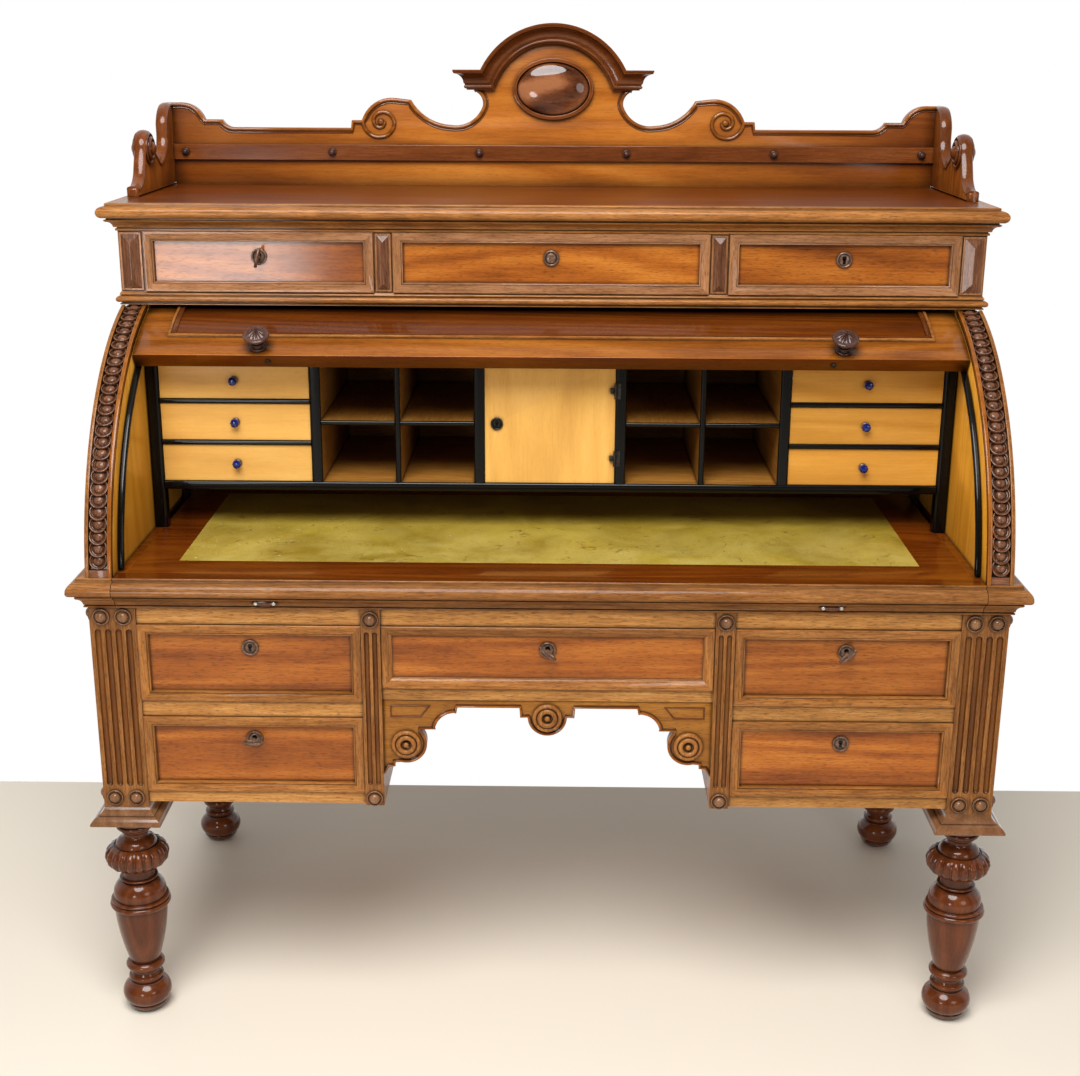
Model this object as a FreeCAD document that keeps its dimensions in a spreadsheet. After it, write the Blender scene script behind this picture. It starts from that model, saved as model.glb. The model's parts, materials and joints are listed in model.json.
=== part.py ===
import FreeCAD, Part
import os
import re
from collections import namedtuple

import Sketcher

# A cylinder desk: four turned legs, two drawer pedestals, a pull-out writing slide, a rigid quarter-cylinder
# lid that rolls up over a pigeonhole case, a frieze of drawers and a carved gallery.
# Millimetres. X runs to the right, Z up, and the front faces -Y. The origin is on the floor, at the middle.

SIZES = {
    # The base in plan: half its width over the posts, and how far the upper part stands behind its back
    "base_half_width": 726,
    "back_overhang": 28,
    "post_size": 74,
    "knee_half_width": 265,
    "stile_width": 31,
    "rail_setback": 3,
    "rail_depth": 40,
    # Heights in the base, from the floor up, and its rails and drawers from the top down
    "leg_height": 361,
    "sill_height": 37.5,
    "post_height": 347.5,
    "top_rail_height": 29,
    "upper_drawer_height": 131,
    "middle_rail_height": 26.5,
    "lower_drawer_height": 132.5,
    "bottom_rail_height": 20.5,
    "centre_drawer_height": 106,
    "centre_rail_height": 20.5,
    # Boards of the base
    "panel_board": 18,
    "panel_inset": 4,
    "panel_frame": 45,
    "panel_sink": 6,
    "wall_board": 20,
    "back_board": 14,
    "dust_board": 12,
    "guide_rise": 20,
    # The leg, from the floor up: height and radius of each turned part
    "foot_radius": 21,
    "bun_radius": 41,
    "bun_rise": 31,
    "collar_radius": 27,
    "collar_rise": 55,
    "ankle_radius": 24,
    "ankle_rise": 73,
    "ring_radius": 31,
    "ring_rise": 84,
    "shin_radius": 23,
    "shin_rise": 93,
    "calf_radius": 36,
    "calf_rise": 138,
    "vase_radius": 43.5,
    "vase_rise": 192,
    "band_radius": 50,
    "band_rise": 203,
    "shoulder_radius": 42,
    "shoulder_rise": 214,
    "dip_radius": 36,
    "dip_rise": 233,
    "neck_radius": 26.5,
    "neck_rise": 246,
    "gadroon_radius": 55,
    "gadroon_foot_rise": 259,
    "gadroon_rise": 283,
    "gadroon_top_radius": 36,
    "gadroon_top_rise": 304,
    "throat_radius": 22.5,
    "throat_rise": 319,
    "capital_radius": 34,
    "capital_rise": 338,
    # The flared sill on each pair of legs
    "sill_reach": 20.6,
    "sill_cove": 21,
    "sill_fillet": 6,
    # Flutes of the posts and pilasters, and the turned studs at their ends
    "flute_radius": 5.2,
    "flute_pitch": 16.5,
    "flute_low": 36.5,
    "flute_high": 38,
    "pilaster_proud": 7,
    "pilaster_flute_radius": 4,
    "pilaster_flute_pitch": 13,
    "stud_radius": 13.5,
    "stud_rim": 3,
    "stud_dome": 8,
    "stud_height": 9.5,
    "stud_top_drop": 16.5,
    "stud_low_rise": 17,
    "stud_spread": 35,
    # The apron over the kneehole: distances from the middle and drops from its top edge
    "apron_board": 20,
    "apron_setback": 5,
    "arch_drop": 13.5,
    "arch_half_width": 146,
    "arch_step_drop": 22.5,
    "arch_curve_reach": 182,
    "arch_curve_drop": 52.5,
    "block_half_width": 43.5,
    "block_drop": 29.5,
    "keystone_radius": 31,
    "boss_place": 228,
    "boss_drop": 77.5,
    "boss_radius": 33,
    "toe_place": 247,
    "toe_drop": 117.5,
    "tip_drop": 131.5,
    "rosette_radius": 24,
    "rosette_rim": 5,
    "rosette_dome": 9,
    "rosette_height": 12,
    # Edge moulding of the desk top: reach out from the posts and rise from its underside
    "edge_height": 51,
    "edge_foot": 5,
    "edge_foot_rise": 4,
    "edge_cove_reach": 8,
    "edge_cove_rise": 13,
    "edge_throat": 16,
    "edge_throat_rise": 18,
    "edge_neck": 20,
    "edge_round_reach": 25.5,
    "edge_round_rise": 21,
    "edge_nose_reach": 27,
    "edge_nose_rise": 28,
    "edge_shoulder_reach": 22,
    "edge_shoulder_rise": 44,
    "edge_lip": 12,
    # The writing slide
    "side_width": 44,
    "slide_play": 1,
    "slide_board": 24,
    "slide_front_board": 18,
    "slide_notch": 137,
    "slide_back_gap": 106,
    "runner_width": 27,
    "leather_side_margin": 84,
    "leather_front_margin": 82,
    "leather_back_margin": 110,
    "leather_thickness": 1.5,
    # The quadrant sides and the cylinder lid, which turns about an axis just below the desk top
    "lid_radius": 442,
    "back_reach": 283,
    "axis_drop": 5,
    "lid_thickness": 26,
    "lid_headroom": 4,
    "lid_back_gap": 6,
    "lid_open_angle": 123,
    "lid_moulding": 4.5,
    "lid_frame_margin": 50,
    "lid_frame_width": 13,
    "lid_frame_angle": 117.2,
    "lid_frame_rear": 66,
    "quadrant_lead": 15,
    "quadrant_proud": 10,
    "coin_depth": 12,
    "guide_gap": 0.5,
    "guide_width": 10,
    "guide_depth": 9.5,
    "arm_thickness": 7,
    "arm_width": 24,
    "arm_side_gap": 6,
    "arm_end_gap": 0.4,
    "arm_lead": 3.5,
    "pin_radius": 4,
    "pin_clearance": 0.3,
    "pin_seat": 12,
    "pivot_rail_height": 46,
    "knob_inset": 203,
    "knob_angle": 120.4,
    "knob_foot_radius": 14,
    "knob_foot": 5,
    "knob_waist_radius": 9.5,
    "knob_waist": 13,
    "knob_bell_radius": 14,
    "knob_bell": 22,
    "knob_head_radius": 22,
    "knob_head": 29,
    "knob_height": 35,
    "buffer_inset": 220,
    "buffer_radius": 4,
    "buffer_length": 3,
    # The frieze case
    "case_step": 2.4,
    "case_inset": 8,
    "collar_gap": 1.7,
    "case_floor": 5.5,
    "case_wall": 24.6,
    "case_rail": 22,
    "case_top": 20,
    "frieze_height": 101,
    "collar_height": 22,
    "collar_reach": 9,
    "collar_fillet": 3,
    "collar_bead_low": 3,
    "collar_bead_high": 15,
    "divider_half_gap": 265,
    "divider_width": 31.6,
    "facet_margin": 2.5,
    "facet_board": 3,
    "facet_rise": 6,
    # Cornice: reach out from the frieze and rise from its underside
    "cornice_height": 46,
    "cornice_foot": 3,
    "cornice_foot_rise": 3,
    "cornice_cove_reach": 8,
    "cornice_cove_rise": 9,
    "cornice_throat": 17,
    "cornice_throat_rise": 16,
    "cornice_neck": 20,
    "cornice_round_reach": 26.5,
    "cornice_round_rise": 19.5,
    "cornice_nose_reach": 28,
    "cornice_nose_rise": 26,
    "cornice_shoulder_reach": 23,
    "cornice_shoulder_rise": 39,
    "cornice_lip": 8,
    # The gallery: distances from the middle and heights above the top board
    "gallery_inset": 12.6,
    "gallery_board": 18,
    "crest_height": 104,
    "crest_corner_height": 148,
    "crest_corner_inset": 13,
    "crest_ovolo_inset": 45,
    "crest_ovolo_height": 139,
    "crest_ledge_outer": 60,
    "crest_ledge_inner": 92,
    "crest_ledge_height": 118,
    "crest_ogee_inset": 103,
    "crest_ogee_height": 107,
    "crest_straight_outer": 118,
    "crest_straight_inner": 375,
    "scroll_outer": 356,
    "scroll_shoulder_place": 332,
    "scroll_shoulder_height": 149,
    "scroll_top_place": 293,
    "scroll_top_height": 158,
    "scroll_end_place": 265,
    "scroll_end_height": 155,
    "bite_outer_place": 234,
    "bite_outer_height": 123,
    "bite_low_place": 191,
    "bite_low_height": 110,
    "bite_inner_place": 150,
    "bite_inner_drop": 91,
    "bite_side_place": 130,
    "bite_side_drop": 65,
    "bite_top_place": 133,
    "bite_top_drop": 48,
    "bite_neck_place": 147,
    "bite_neck_drop": 38,
    "pediment_arm_height": 210,
    "pediment_arm_reach": 185,
    "pediment_foot_reach": 153,
    "pediment_drop": 68,
    "pediment_radius": 150,
    "pediment_depth": 36,
    "pediment_cove_reach": 15,
    "pediment_cove_depth": 17,
    "pediment_fillet": 6,
    "pediment_heel": 9,
    "pediment_proud": 34,
    "oval_drop": 34,
    "oval_half_width": 67.5,
    "oval_half_height": 48,
    "oval_rise": 15,
    "oval_rim": 7,
    "oval_rim_rise": 8,
    "peg_rail_low": 46,
    "peg_rail_height": 28,
    "peg_rail_board": 8,
    "peg_margin": 23.5,
    "peg_radius": 7.5,
    "peg_rim": 2,
    "peg_dome": 6,
    "peg_length": 11,
    "bracket_board": 17,
    "bracket_foot_reach": 305,
    "bracket_foot_height": 16,
    "bracket_stem_reach": 258,
    "bracket_stem_height": 36,
    "bracket_disc_reach": 208,
    "bracket_disc_height": 76,
    "bracket_disc_radius": 31,
    "bracket_bite_reach": 128,
    "bracket_bite_height": 47,
    "bracket_arm_reach": 76,
    "bracket_arm_height": 90,
    "bracket_notch_height": 112,
    "bracket_crown_reach": 58,
    "bracket_crown_height": 138,
    "bracket_top_reach": 30,
    "button_radius": 20,
    "button_rim": 5,
    "button_dome": 12,
    "button_height": 13,
    # The pigeonhole case
    "nook_reach": 165,
    "nook_gap": 68,
    "nook_floor": 15,
    "nook_roof": 10,
    "nook_headroom": 26,
    "nook_wall": 7,
    "nook_back": 6,
    "arm_room": 15,
    "door_half_width": 110.5,
    "door_board": 18,
    "upright_width": 18.5,
    "pigeonhole_width": 124.25,
    "pigeonhole_divider": 10,
    "pigeonhole_shelf": 8,
    "small_rail": 8.2,
    "edging": 4,
    "side_upright_depth": 18,
    "upright_foot_gap": 0.5,
    "cleat_depth": 30,
    "cleat_height": 25,
    # The cupboard door's hinges and lock
    "hinge_radius": 2.6,
    "hinge_pin_radius": 1.2,
    "hinge_clearance": 0.3,
    "hinge_barrel": 9,
    "hinge_leaf_width": 9,
    "hinge_margin": 45,
    "door_lock_place": 90,
    # Drawers
    "drawer_play": 0.5,
    "drawer_front": 20,
    "drawer_frame": 16,
    "drawer_frame_proud": 4,
    "drawer_frame_sink": 8,
    "drawer_side": 10,
    "drawer_floor": 7,
    "drawer_drop": 10,
    "base_drawer_gap": 75,
    "frieze_drawer_gap": 19,
    "small_drawer_gap": 30,
    "small_drawer_front": 12,
    "small_drawer_side": 7,
    "lock_drop": 40,
    "frieze_lock_drop": 42,
    "lock_half_width": 28,
    "lock_half_height": 22,
    "lock_depth": 12,
    "plate_radius": 13.5,
    "plate_rim": 2,
    "plate_height": 4,
    "keyhole_radius": 2.7,
    "key_radius": 2.2,
    "key_depth": 20,
    "key_reach": 11,
    "key_bow_radius": 7.5,
    "key_bow_wire": 1.9,
    "glass_knob_radius": 8,
    "glass_knob_stem": 4.5,
    "glass_knob_neck": 6,
    "glass_knob_height": 17,
}

# Places that follow from those sizes
POST_IN = "(base_half_width - post_size)"
SIDE_IN = "(base_half_width - side_width)"
QUADRANT = "(lid_radius + quadrant_proud)"
AXIS_BACK = f"({QUADRANT} - quadrant_lead)"
BACK = f"({AXIS_BACK} + back_reach)"
BASE_DEPTH = f"({BACK} - back_overhang)"
FRONT = f"((edge_nose_reach - {BACK}) / 2)"
POST_LOW = "(leg_height + sill_height)"
BASE_TOP = f"({POST_LOW} + post_height)"
DESK = f"({BASE_TOP} + edge_height)"
UPPER_TOP = f"({BASE_TOP} - top_rail_height)"
UPPER_LOW = f"({UPPER_TOP} - upper_drawer_height)"
LOWER_TOP = f"({UPPER_LOW} - middle_rail_height)"
LOWER_LOW = f"({LOWER_TOP} - lower_drawer_height)"
BASE_LOW = f"({LOWER_LOW} - bottom_rail_height)"
CENTRE_LOW = f"({UPPER_TOP} - centre_drawer_height)"
APRON_TOP = f"({CENTRE_LOW} - centre_rail_height)"
STILE_OUT = "(knee_half_width + stile_width)"
STILE_MIDDLE = "(knee_half_width + stile_width / 2)"
RAIL_BACK = "(rail_setback + rail_depth)"
PANEL_OUT = "(base_half_width - panel_inset)"
PANEL_IN = f"({PANEL_OUT} - panel_board)"
BACK_POST = f"({BASE_DEPTH} - post_size)"
BASE_BACK = f"({BASE_DEPTH} - back_board)"
SLIDE_HALF = f"({SIDE_IN} - slide_play)"
ARM_OUT = f"({SIDE_IN} - arm_side_gap)"
ARM_IN = f"({ARM_OUT} - arm_thickness)"
NOOK_SIDE = f"({SIDE_IN} - arm_room)"
AXIS = f"({BASE_TOP} - axis_drop)"
LID_IN = "(lid_radius - lid_thickness)"
COIN_IN = f"({QUADRANT} - coin_depth)"
DESK_RISE = f"({DESK} - {AXIS})"
CASE_UNDER = f"({AXIS} + lid_radius + lid_moulding + lid_headroom)"
FRIEZE_LOW = f"({CASE_UNDER} + case_floor)"
COLLAR_LOW = f"({FRIEZE_LOW} - collar_height)"
FRIEZE_TOP = f"({FRIEZE_LOW} + frieze_height)"
SHELF = f"({FRIEZE_TOP} + cornice_height)"
CASE_OUT = "(base_half_width - case_step)"
CASE_CORE = f"({CASE_OUT} - case_inset)"
CASE_REACH = f"sqrt((lid_radius + lid_moulding + collar_gap)^2 - ({COLLAR_LOW} - {AXIS})^2)"
CASE_CORE_FRONT = f"({AXIS_BACK} - {CASE_REACH})"
CASE_FRONT = f"({CASE_CORE_FRONT} - case_inset)"
DIVIDER_OUT = "(divider_half_gap + divider_width)"
GALLERY_HALF = f"({CASE_OUT} - gallery_inset)"
GALLERY_FACE = f"({BACK} - gallery_board)"
NOOK_LOW = f"({DESK} + nook_gap)"
NOOK_FLOOR = f"({NOOK_LOW} + nook_floor)"
NOOK_FRONT = f"({AXIS_BACK} - nook_reach)"
NOOK_BACK = f"({AXIS_BACK} + nook_reach)"
NOOK_TOP = f"({AXIS} + sqrt({LID_IN}^2 - nook_reach^2) - nook_headroom)"
NOOK_CEILING = f"({NOOK_TOP} - nook_roof)"
NOOK_FACE = f"({NOOK_FRONT} - edging)"
UPRIGHT_ONE = "(door_half_width + upright_width)"
HOLE_ONE = f"({UPRIGHT_ONE} + pigeonhole_width)"
HOLE_TWO = f"({HOLE_ONE} + pigeonhole_divider)"
UPRIGHT_TWO = f"({HOLE_TWO} + pigeonhole_width)"
BANK_IN = f"({UPRIGHT_TWO} + upright_width)"
BANK_OUT = f"({NOOK_SIDE} - nook_wall)"
SMALL_HEIGHT = f"(({NOOK_CEILING} - {NOOK_FLOOR} - 2 * small_rail) / 3)"
HOLE_MIDDLE = f"(({NOOK_CEILING} + {NOOK_FLOOR}) / 2)"

# How far a cutting shape stands past the face that it cuts
OVERSHOOT = "1"
# The sine of 45 degrees, for the middle of a quarter arc
HALF_TURN = "0.7071"
# Radius of the flat tip that the lathe leaves on a dome
TIP = "1"

Via = namedtuple("Via", "x y")
FRONTWARD = FreeCAD.Rotation(FreeCAD.Vector(1, 0, 0), 90)
SIDEWAYS = FreeCAD.Rotation(FreeCAD.Vector(0, 1, 0), 90)

doc = FreeCAD.newDocument("cylinder_desk")
sheet = doc.addObject("Spreadsheet::Sheet", "sizes")
for row, (alias, size) in enumerate(SIZES.items(), 1):
    sheet.set(f"A{row}", str(size))
    sheet.setAlias(f"A{row}", alias)
doc.recompute()
nodes = []


def tied(expression):
    """The expression, with each size's name made a reference to the sheet."""
    return re.sub(r"[a-z_]+", lambda m: f"sizes.{m[0]}" if m[0] in SIZES else m[0], expression)


def value(expression):
    """What the expression comes to now."""
    found = sheet.evalExpression(tied(expression))
    return float(getattr(found, "Value", found))


def bind(thing, prop, expression):
    thing.setExpression(prop, tied(expression))


def put(thing, x="0", y="0", z="0"):
    """Places a thing; y is measured back from the fronts of the posts."""
    bind(thing, "Placement.Base.x", x)
    bind(thing, "Placement.Base.y", f"{FRONT} + {y}")
    bind(thing, "Placement.Base.z", z)
    return thing


def node(name, pieces):
    """Makes the pieces one named sub-part of the desk."""
    whole = doc.addObject("Part::Compound", name)
    whole.Links = pieces
    nodes.append(whole)


def board(name, x, y, z):
    """A rectangular board between two places along each axis."""
    box = doc.addObject("Part::Box", name)
    for prop, (low, high) in zip(("Length", "Width", "Height"), (x, y, z)):
        bind(box, prop, f"({high}) - ({low})")
    return put(box, x[0], y[0], z[0])


def rod(name, radius, length, rotation, x, y, z):
    """A round bar from a place, along +Z before it is turned."""
    bar = doc.addObject("Part::Cylinder", name)
    bind(bar, "Radius", radius)
    bind(bar, "Height", length)
    bar.Placement.Rotation = rotation
    return put(bar, x, y, z)


def cut(name, base, tools):
    """The base without what the tools cover; the tools don't overlap each other."""
    gone = doc.addObject("Part::Compound", f"{name}_tools")
    gone.Links = tools
    left = doc.addObject("Part::Cut", name)
    left.Base = base
    left.Tool = gone
    return left


def mirrored(piece):
    """The piece's twin on the other side of the desk."""
    twin = doc.addObject("Part::Mirroring", f"{piece.Name}_twin")
    twin.Source = piece
    twin.Normal = FreeCAD.Vector(1, 0, 0)
    return twin


def both(pieces):
    """The pieces of one side, and their twins on the other."""
    half = doc.addObject("Part::Compound", f"{pieces[0].Name}_half")
    half.Links = pieces
    return [half, mirrored(half)]


def copy_of(master, name, x, y, z):
    """A copy of a piece that was made at the origin."""
    link = doc.addObject("App::Link", name)
    link.LinkedObject = master
    link.LinkTransform = True
    return put(link, x, y, z)


def point(pair):
    return FreeCAD.Vector(value(pair[0]), value(pair[1]), 0)


def sketch_on(body, role, name):
    sketch = body.newObject("Sketcher::SketchObject", f"{body.Name}_{name}")
    plane = next(o for o in body.Origin.OriginFeatures if o.Role == role)
    sketch.AttachmentSupport = [(plane, "")]
    sketch.MapMode = "FlatFace"
    return sketch


def fix(sketch, geometry, end, pair):
    """Holds a point of the sketch at a pair of expressions, measured from the sketch's origin."""
    for kind, expression in zip(("DistanceX", "DistanceY"), pair):
        number = sketch.addConstraint(Sketcher.Constraint(kind, -1, 1, geometry, end, value(expression)))
        sketch.setExpression(f"Constraints[{number}]", tied(expression))


def draw(sketch, path, closed=True):
    """Draws an outline through the corners of the path; a Via bends the run it stands in to an arc."""
    corners = [n for n, place in enumerate(path) if not isinstance(place, Via)]
    runs = list(zip(corners, corners[1:] + corners[:1]))
    if not closed:
        runs.pop()
    ends = []
    for start, stop in runs:
        after = path[(start + 1) % len(path)]
        a, b = point(path[start]), point(path[stop])
        if not isinstance(after, Via):
            ends.append((sketch.addGeometry(Part.LineSegment(a, b), False), 1, 2))
            continue
        middle = point(after)
        leftward = (middle - a).cross(b - middle).z > 0
        arc = Part.Arc(a, middle, b) if leftward else Part.Arc(b, middle, a)
        bend = sketch.addGeometry(arc, False)
        ends.append((bend, 1, 2) if leftward else (bend, 2, 1))
        dot = sketch.addGeometry(Part.Point(middle), True)
        sketch.addConstraint(Sketcher.Constraint("PointOnObject", dot, 1, bend))
        fix(sketch, dot, 1, after)
    links = zip(ends, ends[1:] + ends[:1]) if closed else zip(ends, ends[1:])
    for (one, _, last), (two, first, _) in links:
        sketch.addConstraint(Sketcher.Constraint("Coincident", one, last, two, first))
    for (start, _), (run, first, _) in zip(runs, ends):
        fix(sketch, run, first, path[start])
    if not closed:
        fix(sketch, ends[-1][0], ends[-1][2], path[corners[-1]])


def slab(name, role, path, thickness):
    """A flat piece of an outline: drawn on the YZ plane it grows to +X, on XZ to +Y, on XY to +Z."""
    body = doc.addObject("PartDesign::Body", name)
    sketch = sketch_on(body, role, "outline")
    draw(sketch, path)
    pad = body.newObject("PartDesign::Pad", f"{name}_pad")
    pad.Profile = sketch
    pad.Reversed = role == "XZ_Plane"
    bind(pad, "Length", thickness)
    return body


def turning(name, path, rotation=None):
    """A turned piece: its outline in radius and height, about an axis that rises from its seat."""
    body = doc.addObject("PartDesign::Body", name)
    sketch = sketch_on(body, "XZ_Plane", "outline")
    draw(sketch, path)
    turned = body.newObject("PartDesign::Revolution", f"{name}_turned")
    turned.Profile = sketch
    turned.ReferenceAxis = (sketch, ["V_Axis"])
    turned.Angle = 360
    if rotation:
        body.Placement.Rotation = rotation
    return body


def button(name, prefix, rotation):
    """A turned disc with a dome in its middle, from sizes that share a prefix."""
    rim, dome, height = f"{prefix}_rim", f"{prefix}_dome", f"{prefix}_height"
    path = [
        ("0", "0"),
        (f"{prefix}_radius", "0"),
        (f"{prefix}_radius", rim),
        (dome, rim),
        Via(f"{dome} * {HALF_TURN}", f"{rim} + ({height} - {rim}) * {HALF_TURN}"),
        (TIP, height),
        ("0", height),
    ]
    return turning(name, path, rotation)


def moulding(name, spine, profile):
    """A moulding run along a path in plan, mitred at the corners, from a profile that stands at its start."""
    body = doc.addObject("PartDesign::Body", name)
    route = sketch_on(body, "XY_Plane", "route")
    draw(route, spine, closed=False)
    section = sketch_on(body, "XZ_Plane", "section")
    draw(section, profile)
    pipe = body.newObject("PartDesign::AdditivePipe", f"{name}_run")
    pipe.Profile = section
    pipe.Spine = (route, [f"Edge{n}" for n in range(1, len(spine))])
    pipe.Transition = "Right corner"
    return body


def cornice_profile(prefix, out):
    """The section shared by the desk's edge and the cornice: foot, cove, quirk, rounded nose and lip."""

    def at(reach, rise):
        return f"{out} + {prefix}_{reach}", f"{prefix}_{rise}"

    return [
        (out, "0"),
        (f"{out} + {prefix}_foot", "0"),
        at("foot", "foot_rise"),
        Via(*at("cove_reach", "cove_rise")),
        at("throat", "throat_rise"),
        at("neck", "throat_rise"),
        Via(*at("round_reach", "round_rise")),
        at("nose_reach", "nose_rise"),
        Via(*at("shoulder_reach", "shoulder_rise")),
        at("lip", "height"),
        (out, f"{prefix}_height"),
    ]


def mitred(name, run, height):
    """The moulding about the case as three lengths, which meet on the corners' mitres."""
    out, inset = "cornice_nose_reach", "case_inset"
    corner = (f"{CASE_OUT} + {out}", f"{CASE_FRONT} - {out}")
    inner = (f"{CASE_OUT} - {inset}", f"{CASE_FRONT} + {inset}")
    plans = {
        "front": symmetric([corner, inner]),
        "side": [corner, inner, (inner[0], BACK), (corner[0], BACK)],
    }
    lengths = []
    for key, plan in plans.items():
        space = slab(f"{name}_{key}_space", "XY_Plane", plan, height)
        put(space, "0", "0", COLLAR_LOW if height == "collar_height" else FRIEZE_TOP)
        length = doc.addObject("Part::Common", f"{name}_{key}")
        length.Base = run
        length.Tool = space
        lengths.append(length)
    return lengths[:1] + both(lengths[1:])


def symmetric(path):
    """The right half of an outline, joined to its mirror image."""
    left = [type(p)(f"-({p[0]})", p[1]) if isinstance(p, Via) else (f"-({p[0]})", p[1]) for p in path]
    return path + left[::-1]


def around_axis(radius, angle):
    """A place at a radius and an angle about the lid's axis; the angle rises from the back."""
    return f"{radius} * cos({angle})", f"{radius} * sin({angle})"


def arc_at_rise(radius, rise):
    """Where the front of a circle about the lid's axis is at a height above the axis."""
    return f"-sqrt({radius}^2 - ({rise})^2)", rise


def arc_at_reach(radius, reach):
    """Where the top of a circle about the lid's axis is at a distance in front of the axis."""
    return f"-({reach})", f"sqrt({radius}^2 - ({reach})^2)"


def on_axis(piece, x):
    return put(piece, x, AXIS_BACK, AXIS)


def make_legs():
    leg = turning(
        "leg",
        [
            ("0", "0"),
            ("foot_radius", "0"),
            Via("bun_radius", "bun_rise"),
            ("collar_radius", "collar_rise"),
            ("ankle_radius", "ankle_rise"),
            Via("ring_radius", "ring_rise"),
            ("shin_radius", "shin_rise"),
            Via("calf_radius", "calf_rise"),
            ("vase_radius", "vase_rise"),
            Via("band_radius", "band_rise"),
            ("shoulder_radius", "shoulder_rise"),
            Via("dip_radius", "dip_rise"),
            ("neck_radius", "neck_rise"),
            ("neck_radius", "gadroon_foot_rise"),
            Via("gadroon_radius", "gadroon_rise"),
            ("gadroon_top_radius", "gadroon_top_rise"),
            Via("throat_radius", "throat_rise"),
            ("capital_radius", "capital_rise"),
            ("capital_radius", "leg_height"),
            ("0", "leg_height"),
        ],
    )
    half = "post_size / 2"
    places = {"front": half, "back": f"{BASE_DEPTH} - {half}"}
    legs = [copy_of(leg, f"leg_{k}", f"base_half_width - {half}", y, "0") for k, y in places.items()]
    node("turned_legs", both(legs))

    # The sill's cove is a quarter of an ellipse, drawn by a few level outlines
    steps = 6
    levels = [("0", POST_LOW)]
    for n in range(steps + 1):
        turn = f"{90 * n / steps}"
        drop = f"sill_fillet + sill_cove * sin({turn})"
        levels.append((f"sill_reach * (1 - cos({turn}))", f"{POST_LOW} - ({drop})"))
    levels.append(("sill_reach", "leg_height"))
    outlines = []
    for n, (reach, level) in enumerate(levels):
        outline = doc.addObject("Part::Plane", f"sill_level_{n}")
        bind(outline, "Length", f"post_size + 2 * ({reach})")
        bind(outline, "Width", f"{BASE_DEPTH} + 2 * ({reach})")
        outlines.append(put(outline, f"{POST_IN} - ({reach})", f"-({reach})", level))
    sill = doc.addObject("Part::Loft", "sill")
    sill.Sections = outlines
    sill.Solid = True
    sill.Ruled = True
    node("leg_sills", both([sill]))


def make_flute(name, radius, low, high):
    """A round-ended groove's cutting shape, between two heights."""
    path = [
        ("0", low),
        Via(f"{radius} * {HALF_TURN}", f"{low} + {radius} * (1 - {HALF_TURN})"),
        (radius, f"{low} + {radius}"),
        (radius, f"{high} - {radius}"),
        Via(f"{radius} * {HALF_TURN}", f"{high} - {radius} * (1 - {HALF_TURN})"),
        ("0", high),
    ]
    return turning(name, path)


def make_posts():
    upright = (POST_LOW, BASE_TOP)
    whole = board("front_post_blank", (POST_IN, "base_half_width"), ("0", "post_size"), upright)
    low, high = f"{POST_LOW} + flute_low", f"{BASE_TOP} - flute_high"
    flute = make_flute("post_flute", "flute_radius", f"({low})", f"({high})")
    flutes = []
    for n in range(4):
        along = f"post_size / 2 + {n - 1.5} * flute_pitch"
        flutes.append(copy_of(flute, f"front_flute_{n}", f"{POST_IN} + {along}", "0", "0"))
        flutes.append(copy_of(flute, f"side_flute_{n}", "base_half_width", along, "0"))
    front = cut("front_post", whole, flutes)
    back = board("back_post", (POST_IN, "base_half_width"), (BACK_POST, BASE_DEPTH), upright)
    node("corner_posts", both([front, back]))

    strip = board(
        "pilaster_blank",
        ("knee_half_width", STILE_OUT),
        ("rail_setback - pilaster_proud", "rail_setback"),
        (BASE_LOW, BASE_TOP),
    )
    groove = make_flute("pilaster_flute", "pilaster_flute_radius", f"({BASE_LOW} + flute_low)", f"({high})")
    face = "rail_setback - pilaster_proud"
    grooves = []
    for n, side in enumerate(("-", "+")):
        place = f"{STILE_MIDDLE} {side} pilaster_flute_pitch / 2"
        grooves.append(copy_of(groove, f"groove_{n}", place, face, "0"))
    node("inner_pilasters", both([cut("pilaster", strip, grooves)]))

    stud = button("stud", "stud", FRONTWARD)
    side_stud = button("side_stud", "stud", SIDEWAYS)
    top = f"{BASE_TOP} - stud_top_drop"
    studs = []
    low = ("low", f"{POST_LOW} + stud_low_rise", f"{BASE_LOW} + stud_radius")
    for level, post_z, strip_z in (("top", top, top), low):
        for n, side in enumerate(("-", "+")):
            along = f"post_size / 2 {side} stud_spread / 2"
            studs.append(copy_of(stud, f"stud_{level}_{n}", f"{POST_IN} + {along}", "0", post_z))
            studs.append(copy_of(side_stud, f"side_stud_{level}_{n}", "base_half_width", along, post_z))
        studs.append(copy_of(stud, f"strip_stud_{level}", STILE_MIDDLE, face, strip_z))
    node("turned_studs", both(studs))


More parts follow.
